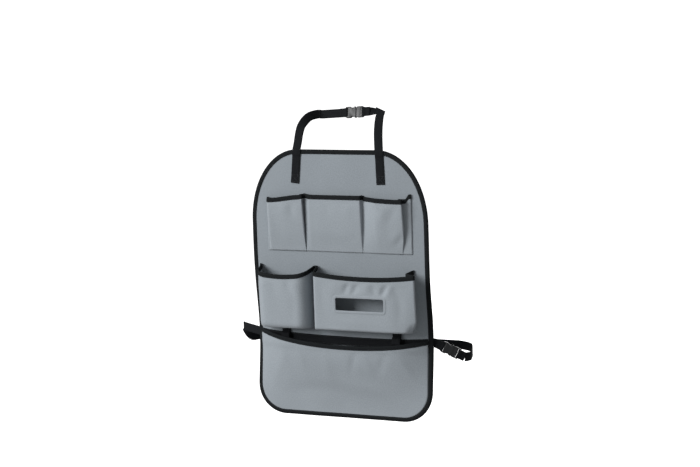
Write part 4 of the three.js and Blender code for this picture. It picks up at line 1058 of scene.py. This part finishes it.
class BuildTissuePocket(bpy.types.Operator):
    """Builds the box pocket with the slot in its front, on the right of the lower row"""
    bl_idname = "organizer.tissue_pocket"
    bl_label = "Tissue pocket"
    bl_options = {"REGISTER", "UNDO"}

    def execute(self, context):
        grid = box_grid()
        middle = (grid[:-1, :-1] + grid[1:, 1:]) / 2
        inside = (slot_distance(middle[..., 0], middle[..., 2]) < 0.01) & (middle[..., 1] < -BOX_DEPTH / 2)
        sewn_pocket("tissue", "tissue_pocket_cloth", "tissue_pocket", grid, lambda i, j: inside[i, j],
                    self.slot_rim)
        return {"FINISHED"}

    def slot_rim(self, grid):
        """The slot's turned hem: a flat doubled edge round the opening."""
        line = slot_loop(0, 4)[:-1]
        ahead = unit(np.roll(line, -1, axis=0) - np.roll(line, 1, axis=0))
        inward = np.stack([-ahead[:, 1], ahead[:, 0]], axis=1)
        front = front_of(grid)
        section = [(1.6, -0.7), (2.0, 0.0), (1.6, 0.7), (0.0, 0.8), (-2.6, 0.72), (-5.4, 0.42), (-5.4, -0.42),
                   (-2.6, -0.72), (0.0, -0.8)]
        rings = []
        for p, n in zip(line, inward):
            ring = []
            for s, t in section:
                x, z = p + n * (s - 1.2)
                ring.append((x, front(x, z) - t, z))
            rings.append(ring)
        return swept("tissue_slot_hem", rings, woven_cloth(), closed=True)


def front_of(grid):
    """A function for the front's middle surface of a bag pocket at (x, z)."""
    flat = (grid[..., 1] < -BOX_DEPTH * 0.8).nonzero()
    points = grid[flat]

    def y_at(x, z):
        near = np.argsort((points[:, 0] - x) ** 2 + (points[:, 2] - z) ** 2)[:4]
        return float(points[near, 1].mean())
    return y_at


class BuildMapPocket(bpy.types.Operator):
    """Builds the wide pocket along the bottom, whose mouth sags"""
    bl_idname = "organizer.map_pocket"
    bl_label = "Map pocket"
    bl_options = {"REGISTER", "UNDO"}

    def execute(self, context):
        sewn_pocket("map", "map_pocket_cloth", "map_pocket", map_grid())
        return {"FINISHED"}


def buckle_frame(origin, along, across):
    """A frame at a buckle's bar: x along the webbing and y across it."""
    x = unit(np.asarray(along, float))
    y = unit(np.asarray(across, float) - x * (np.asarray(across, float) @ x))
    return np.asarray(origin, float), x, y, np.cross(x, y)


def plug_frame(frame_at_socket):
    """The frame of the plug that faces a socket."""
    origin, x, y, z = frame_at_socket
    return origin + x * (SOCKET_L + GAP + PLUG_BASE_L), -x, -y, z


def bar_loop(at, tail):
    """Stations of webbing that goes round a buckle's bar and is sewn back to itself."""
    origin, x, across, z = at
    thick = size("webbing")
    lift, rest, far = BAR_T / 2 + GAP + thick / 2, (thick + GAP) / 2, BAR_W + GAP + thick / 2
    parted, bend_at, bend, cut = 9.0, 4.2, 1.2, 0.75
    line = [(-parted, -rest), (-bend_at, -bend), (0, -lift), (far - cut, -lift), (far, cut - lift),
            (far, lift - cut), (far - cut, lift), (0, lift), (-bend_at, bend), (-parted, rest), (-tail, rest)]
    return [(origin + x * u + z * n, across) for u, n in line]


def top_frame():
    """Frame of the top buckle's socket, which leans and tilts as the photograph shows it."""
    tilt, lean = math.radians(RUN_TILT), math.radians(RUN_LEAN)
    origin = (TOP_BUCKLE_X, POST_BACK + POST_R + GAP + size("webbing") / 2, PANEL_H + POST_RISE)
    return buckle_frame(origin, (math.cos(tilt), 0, math.sin(tilt)), (0, math.sin(lean), math.cos(lean)))


def belt_height(x):
    """Height of the belt's webbing across the panel, which sags and is a little lower on the right."""
    share = 2 * x / PANEL_W
    return BELT_Z - BELT_RIGHT_DROP * (1 + share) / 2 - BELT_SAG * (1 - share ** 2)


def belt_root(side):
    """Points of a belt end that is sewn behind the panel and passes over the edge tape."""
    half, d, wide = PANEL_W / 2, depths(), size("tape_width")
    z = BELT_Z - BELT_RIGHT_DROP if side > 0 else BELT_Z
    places = [(BELT_SEWN_L, "webbing"), (BELT_SEWN_L / 2, "webbing"), (wide + 3, "webbing"),
              (wide, "on_binding"), (wide / 2, "on_binding")]
    points = [on_layer(side * (half - inset), z, d[key]) for inset, key in places]
    return points + [on_layer(side * half, z, d["on_binding"], pulled)]


def belt_frame():
    """Frame of the side buckle's socket, and the slope at which the belt leaves the panel."""
    slope = 2 * size("wrap_depth") / (PANEL_W / 2 - size("flat_width") / 2)
    fall, turn = math.radians(BELT_BUCKLE_FALL), math.radians(BELT_BUCKLE_TURN)
    along = np.array([math.cos(fall) * math.cos(turn), math.cos(fall) * math.sin(turn), -math.sin(fall)])
    end = belt_root(1)[-1] + unit(np.array([1, slope, -BELT_SHORT_SLOPE])) * BELT_SHORT_L
    return buckle_frame(end, along, UP), slope


# The shoulder straps: their side, how far from the middle they are sewn and cross the panel's edge, and their
# free way in shares: in to the turn, back to the run that both straps share and up to that run.
STRAPS = {
    "left": (-1, 101.5, 94.5, [(0.03, 0.03, 0.2), (0.04, 0.16, 0.48), (0.09, 0.32, 0.69), (0.33, 0.63, 0.9),
                               (0.73, 0.94, 0.96)]),
    "right": (1, 103.0, 100.5, [(0.06, 0.02, 0.15), (0.18, 0.17, 0.43), (0.35, 0.43, 0.69),
                                (0.56, 0.79, 0.9)]),
}


def strap_x(name, z):
    """Where the middle of a sewn strap lies at a height."""
    side, foot_x, top_x, _ = STRAPS[name]
    return side * lerp(foot_x, top_x, (z - PANEL_H + STRAP_SEWN_L) / STRAP_SEWN_L)


class BuildStraps(bpy.types.Operator):
    """Builds the shoulder straps, the belt and the hanging loops from webbing"""
    bl_idname = "organizer.straps"
    bl_label = "Straps and loops"
    bl_options = {"REGISTER", "UNDO"}

    def execute(self, context):
        top = top_frame()
        runs = {"left": self.shoulder_left(top), "right": self.shoulder_right(plug_frame(top))}
        for name, side in (("left", -1), ("right", 1)):
            self.piece(f"strap_{name}", runs[name], f"shoulder_strap_{name}")
            self.piece(f"loop_{name}", [self.hanging_loop(side)], f"hanging_loop_{name}", step=LOOP_STEP)
        at, slope = belt_frame()
        short = [(p, UP) for p in belt_root(1)] + bar_loop(at, SHORT_TAIL_L)
        self.piece("belt_short", [short], "side_strap_short")
        self.piece("belt_long", [self.belt(at, slope)], "side_strap_long", step=BELT_STEP)
        self.piece("belt_front", [self.front_belt()], step=BELT_STEP)
        return {"FINISHED"}

    def piece(self, name, runs, *nodes, step=STRAP_STEP):
        """One length of webbing, and the CAD nodes that it stands for."""
        finish_piece(ribbon(name, runs, strap_webbing(), step), "black_webbing", *nodes)

    def sewn(self, name):
        """Stations of a strap's sewn end: flat on the panel, then up over the edge tape."""
        d, thick = depths(), size("webbing")
        foot, edge = PANEL_H - STRAP_SEWN_L, PANEL_H - size("tape_width") - STEP_CLEAR
        places = [(foot, "webbing"), (lerp(foot, edge, 0.5), "webbing"), (edge - 2 * thick, "webbing"),
                  (edge, "on_binding"), (PANEL_H, "on_binding")]
        return [(on_layer(strap_x(name, z), z, -d[key]), ACROSS) for z, key in places]

    def free(self, name, start, end, turned):
        """Stations of a strap's free way from the panel's edge to an end. Its width turns on the way."""
        side, _, top_x, route = STRAPS[name]
        run_y = top_frame()[0][1]
        points = [start] + [np.array([side * lerp(top_x, POST_HALF_SPAN, inward), back * run_y,
                                      PANEL_H + up * POST_RISE]) for inward, back, up in route] + [end]
        line, _ = curve_through(points, points, FREE_STEP)
        way = np.concatenate([[0], np.cumsum(np.linalg.norm(np.diff(line, axis=0), axis=1))])
        return [(p, lerp(ACROSS, turned, smooth(t))) for p, t in zip(line, way / way[-1])][1:]

    def shoulder_left(self, at):
        """The left strap turns slowly on its way up, so that it stands on edge when it reaches the buckle."""
        origin, x, across, z = at
        sewn = self.sewn("left")
        end = origin - x * (POST_HALF_SPAN + TOP_BUCKLE_X) - z * (size("webbing") + GAP) / 2
        loop = [(p, -w) for p, w in bar_loop(at, TAIL_L)]
        return [sewn + self.free("left", sewn[-1][0], end, -across) + loop]

    def shoulder_right(self, at):
        """The right strap goes straight up and is turned over a diagonal fold towards the buckle."""
        d = unit(np.array(FOLD_APPROACH))
        w = unit(ACROSS - d * d[0])
        run = top_frame()[0]
        centre = np.array([POST_HALF_SPAN + FOLD_OUT, run[1] + FOLD_BACK, run[2] + FOLD_UP])
        fold = diagonal_fold(centre, d, w)
        sewn = self.sewn("right")
        rise = sewn + self.free("right", sewn[-1][0], fold[0][0] - d * 3, w) + [(fold[0][0] - d * 0.5, w)]
        away = [(fold[-1][0] - w * 0.5, -d), (fold[-1][0] - w * 2.5, -d)]
        return [rise, fold, away + bar_loop(at, TAIL_L)]

    def belt(self, at, slope):
        """Stations of the belt, from the panel's left edge round behind it to the plug on the right."""
        plug = plug_frame(at)
        origin, x, _, z = plug
        leave = origin - x * BELT_ARRIVE_L - z * (size("webbing") + GAP) / 2
        out = belt_root(-1)[-1]
        rear_y = leave[1] + SEAT_REAR_R / 2
        plan = rounded_line([
            (out[0] - BELT_LEAVE_L, out[1] + BELT_LEAVE_L * slope), (-SEAT_HALF_W, rear_y, SEAT_REAR_R),
            (-SEAT_HALF_W, SEAT_DEPTH, SEAT_CORNER_R), (SEAT_HALF_W, SEAT_DEPTH, SEAT_CORNER_R),
            (SEAT_HALF_W, rear_y, SEAT_REAR_R / 2), (leave[0], leave[1]),
        ], 6)
        level_y = SEAT_DEPTH - SEAT_CORNER_R / 2
        stations = [(p, UP) for p in belt_root(-1)]
        for px, py in plan:
            t = smooth((py - rear_y) / (level_y - rear_y))
            stations.append((np.array([px, py, lerp(out[2] if px < 0 else leave[2], BELT_LOW_Z, t)]), UP))
        return stations + bar_loop(plug, TAIL_L)

    def front_belt(self):
        """Stations of the webbing that joins the belt's ends, behind the map pocket's mouth."""
        reach, depth = PANEL_W / 2 - size("tape_width") - GAP, depths()["webbing"]
        return [(on_layer(x, belt_height(x), -depth), UP)
                for x in np.linspace(-reach, reach, FRONT_BELT_STATIONS)]

    def hanging_loop(self, side):
        """Stations of a loop. Its ends are sewn on one over the other, in front of the belt's webbing."""
        x, thick = side * LOOP_X, size("webbing")
        near = float(layer(x, LOOP_TOP_Z, -depths()["webbing"] - thick - GAP))
        second, low, r = near - thick - GAP, LOOP_TOP_Z - LOOP_L, LOOP_OUT / 2
        sewn = LOOP_TOP_Z - LOOP_SEWN_L
        line = [(near, LOOP_TOP_Z), (near, sewn), (near, low + r)]
        for k in range(1, 6):
            a = math.pi * k / 6
            line.append((near - r + r * math.cos(a), low + r - r * math.sin(a)))
        line += [(near - LOOP_OUT, low + r),
                 (lerp(second, near - LOOP_OUT, 0.75), lerp(LOOP_TOP_Z, low, 0.45)),
                 (second, sewn), (second, LOOP_TOP_Z)]
        return [(np.array([x, y, z]), ACROSS) for y, z in line]


class BuildBuckles(bpy.types.Operator):
    """Builds the side release buckles from their solids, with softened moulded edges"""
    bl_idname = "organizer.buckles"
    bl_label = "Buckles"
    bl_options = {"REGISTER", "UNDO"}

    def execute(self, context):
        for name in ("top_buckle_socket", "top_buckle_plug", "side_buckle_socket", "side_buckle_plug"):
            piece = self.softened(name)
            context.collection.objects.link(piece)
            finish_piece(piece, "black_plastic", name)
        return {"FINISHED"}

    def softened(self, name):
        """A merged copy of a buckle half whose edges are rounded as a mould leaves them."""
        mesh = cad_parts[name].data.copy()
        mesh.name = f"{name}_body"
        body = bmesh.new()
        body.from_mesh(mesh)
        bmesh.ops.remove_doubles(body, verts=body.verts, dist=0.00001)
        bmesh.ops.dissolve_limit(body, angle_limit=math.radians(3), verts=body.verts, edges=body.edges)
        sharp = [e for e in body.edges if e.is_manifold and e.calc_face_angle(0) > 0.5]
        bmesh.ops.bevel(body, geom=sharp, offset=BUCKLE_EDGE_R * MM, segments=2, profile=0.6,
                        affect="EDGES", clamp_overlap=True)
        body.to_mesh(mesh)
        body.free()
        mesh.materials.clear()
        mesh.materials.append(moulded_plastic())
        smooth_shaded(mesh)
        mesh.set_sharp_from_angle(angle=math.radians(35))
        return bpy.data.objects.new(mesh.name, mesh)


def stitch_tree():
    """Geometry Nodes that lay one stitch after another along lines."""
    tree = bpy.data.node_groups.new("stitches", "GeometryNodeTree")
    face = tree.interface
    face.new_socket("Geometry", in_out="INPUT", socket_type="NodeSocketGeometry")
    for name in ("Pitch", "Length", "Thickness"):
        face.new_socket(name, in_out="INPUT", socket_type="NodeSocketFloat")
    face.new_socket("Thread", in_out="INPUT", socket_type="NodeSocketMaterial")
    face.new_socket("Geometry", in_out="OUTPUT", socket_type="NodeSocketGeometry")
    given = node(tree, "NodeGroupInput").outputs
    lines = node(tree, "GeometryNodeMeshToCurve", {"Mesh": given["Geometry"]})
    spots = node(tree, "GeometryNodeCurveToPoints", {"Curve": lines, "Length": given["Pitch"]}, mode="LENGTH")
    ball = node(tree, "GeometryNodeMeshUVSphere", {"Segments": 6, "Rings": 4, "Radius": 0.5})
    thick, long = given["Thickness"], given["Length"]
    scale = node(tree, "ShaderNodeCombineXYZ", {0: thick, 1: thick, 2: long})
    stitch = node(tree, "GeometryNodeTransform", {"Geometry": ball, "Scale": scale})
    laid = node(tree, "GeometryNodeInstanceOnPoints", {
        "Points": spots, "Instance": stitch, "Rotation": spots.outputs["Rotation"]})
    real = node(tree, "GeometryNodeRealizeInstances", {"Geometry": laid})
    done = node(tree, "GeometryNodeSetMaterial", {"Geometry": real, "Material": given["Thread"]})
    node(tree, "NodeGroupOutput", {"Geometry": done})
    return tree


def sewn_lines(name, lines, thread):
    """One plain mesh of all the stitches along lines given in panel millimetres."""
    points, edges = [], []
    for line in lines:
        start = len(points)
        points += [list((np.asarray(p) + SHIFT) * MM) for p in line]
        edges += [(start + k, start + k + 1) for k in range(len(line) - 1)]
    mesh = bpy.data.meshes.new(f"{name}_lines")
    mesh.from_pydata(points, edges, [])
    piece = bpy.data.objects.new(name, mesh)
    bpy.context.collection.objects.link(piece)
    tree = bpy.data.node_groups.get("stitches") or stitch_tree()
    modifier = piece.modifiers.new("stitches", "NODES")
    modifier.node_group = tree
    given = {item.name: item.identifier for item in tree.interface.items_tree if item.in_out == "INPUT"}
    for key, value in (("Pitch", size("stitch_pitch") * MM), ("Length", size("stitch") * MM),
                       ("Thickness", size("thread") * MM), ("Thread", thread)):
        modifier[given[key]] = value
    graph = bpy.context.evaluated_depsgraph_get()
    made = bpy.data.meshes.new_from_object(piece.evaluated_get(graph))
    piece.modifiers.clear()
    piece.data = made
    made.name = name
    smooth_shaded(made)
    return piece


def on_front(grid, thickness, row=None, column=None, span=None):
    """A line on the front of a grid's cloth, along a row or down a column, and lifted by half a thread."""
    lifted = pushed(grid, np.full(grid.shape[:2], thickness / 2 + STITCH_LIFT))
    line = lifted[row] if row is not None else lifted[:, column]
    return line[slice(*span)] if span else line


def column_at(grid, x):
    """The column of a grid that lies nearest to x, of those within 3 mm of the panel's layers."""
    mouth = grid[0]
    off = np.abs(mouth[:, 1] - ground(mouth[:, 0], mouth[:, 2]))
    return int(np.argmin(np.where(off < depths()["mouth"] + 3, np.abs(mouth[:, 0] - x), np.inf)))


class SewStitches(bpy.types.Operator):
    """Sews every visible seam: hems, side seams, tape edges and strap ends"""
    bl_idname = "organizer.stitches"
    bl_label = "Stitches"
    bl_options = {"REGISTER", "UNDO"}

    def execute(self, context):
        cloth, tape = size("cloth"), 2 * (GAP + size("tape")) + size("cloth")
        upper, snug, box, wide = upper_grid(), snug_grid(), box_grid(), map_grid()
        pale = [on_front(upper, cloth, row=-2), on_front(upper, cloth, row=-4)]
        for x in (UPPER_LEFT_X + STITCH_INSET, UPPER_SEAM_1_X, UPPER_SEAM_2_X, UPPER_RIGHT_X - STITCH_INSET):
            pale.append(on_front(upper, cloth, column=column_at(upper, x), span=(MOUTH_ROWS, None)))
        for grid, x in ((snug, SNUG_LEFT_X - SEAM_STITCH_OUT), (box, BOX_RIGHT_X + SEAM_STITCH_OUT)):
            pale.append(on_front(grid, cloth, column=column_at(grid, x), span=(MOUTH_ROWS, -BAG_FLOOR_STEPS)))
        pale.append(on_front(wide, cloth, row=6))
        pale += self.slot_lines(box)
        thread = sewing_thread("grey_polyester_thread", "thread")
        finish_piece(sewn_lines("cloth_stitches", pale, thread), "grey_cloth")
        dark = [on_front(grid[:TAPE_ROW + 1], tape + 2 * STITCH_LIFT, row=TAPE_ROW)
                for grid in (upper, snug, box, wide)]
        dark += self.edge_lines() + self.strap_lines()
        thread = sewing_thread("black_polyester_thread", "dark_thread")
        finish_piece(sewn_lines("tape_stitches", dark, thread), "black_tape")
        return {"FINISHED"}

    def slot_lines(self, box):
        """Stitches round the tissue slot, in its turned hem."""
        front = front_of(box)
        loop = slot_loop(SLOT_STITCH_OUT, SLOT_STITCH_R)
        return [[(x, front(x, z) - SLOT_STITCH_LIFT, z) for x, z in loop]]

    def edge_lines(self):
        """Stitches along the inner edge of the panel's tape, in front and behind."""
        inset = outline(size("tape_width") - EDGE_STITCH_INSET)
        x, z = filled(np.concatenate([inset, (inset * [-1, 1])[::-1], inset[:1]]), TAPE_STEP).T
        depth = depths()["binding"] + EDGE_STITCH_LIFT
        return [on_layer(x, z, side * depth) for side in (-1, 1)]

    def strap_lines(self):
        """A box and a cross on each shoulder strap's sewn end, and two lines along the front webbing."""
        lines = []
        lift = depths()["webbing"] + size("webbing") / 2 + STITCH_LIFT
        half = size("webbing_width") / 2 - STITCH_INSET
        low = PANEL_H - STRAP_SEWN_L + STRAP_STITCH_RISE
        for name in STRAPS:
            corners = np.array([(-half, low), (half, low), (half, low + 2 * half), (-half, low + 2 * half)])
            x, z = filled(corners[[0, 1, 2, 3, 0, 2, 1, 3]], TAPE_STEP).T
            lines.append(on_layer(x + strap_x(name, z), z, -lift))
        x = np.linspace(-PANEL_W / 2 + BELT_STITCH_INSET, PANEL_W / 2 - BELT_STITCH_INSET, BELT_STITCH_POINTS)
        return lines + [on_layer(x, belt_height(x) + offset, -lift) for offset in (-half, half)]


class OrganizerPanel(bpy.types.Panel):
    """Lists the organizer's sizes, colours and building steps"""
    bl_idname = "VIEW3D_PT_organizer"
    bl_label = "Seat Back Organizer"
    bl_space_type = "VIEW_3D"
    bl_region_type = "UI"
    bl_category = "Organizer"

    def draw(self, context):
        for step in STEPS:
            self.layout.operator(step.bl_idname)
        for group in (context.scene.organizer_sizes, context.scene.organizer_colours):
            for key in group.bl_rna.properties.keys():
                if key not in ("rna_type", "name"):
                    self.layout.prop(group, key)


STEPS = (BuildStage, BuildPanel, BuildUpperPockets, BuildSnugPocket, BuildTissuePocket, BuildMapPocket,
         BuildStraps, BuildBuckles, SewStitches)
GROUPS = (OrganizerSizes, OrganizerColours)


def register():
    for part in (*GROUPS, *STEPS, OrganizerPanel):
        bpy.utils.register_class(part)
    bpy.types.Scene.organizer_sizes = PointerProperty(type=OrganizerSizes)
    bpy.types.Scene.organizer_colours = PointerProperty(type=OrganizerColours)


def unregister():
    del bpy.types.Scene.organizer_sizes, bpy.types.Scene.organizer_colours
    for part in (OrganizerPanel, *reversed(STEPS), *reversed(GROUPS)):
        bpy.utils.unregister_class(part)


def main():
    register()
    for step in STEPS:
        group, name = step.bl_idname.split(".")
        getattr(getattr(bpy.ops, group), name)()


if __name__ == "__main__":
    main()
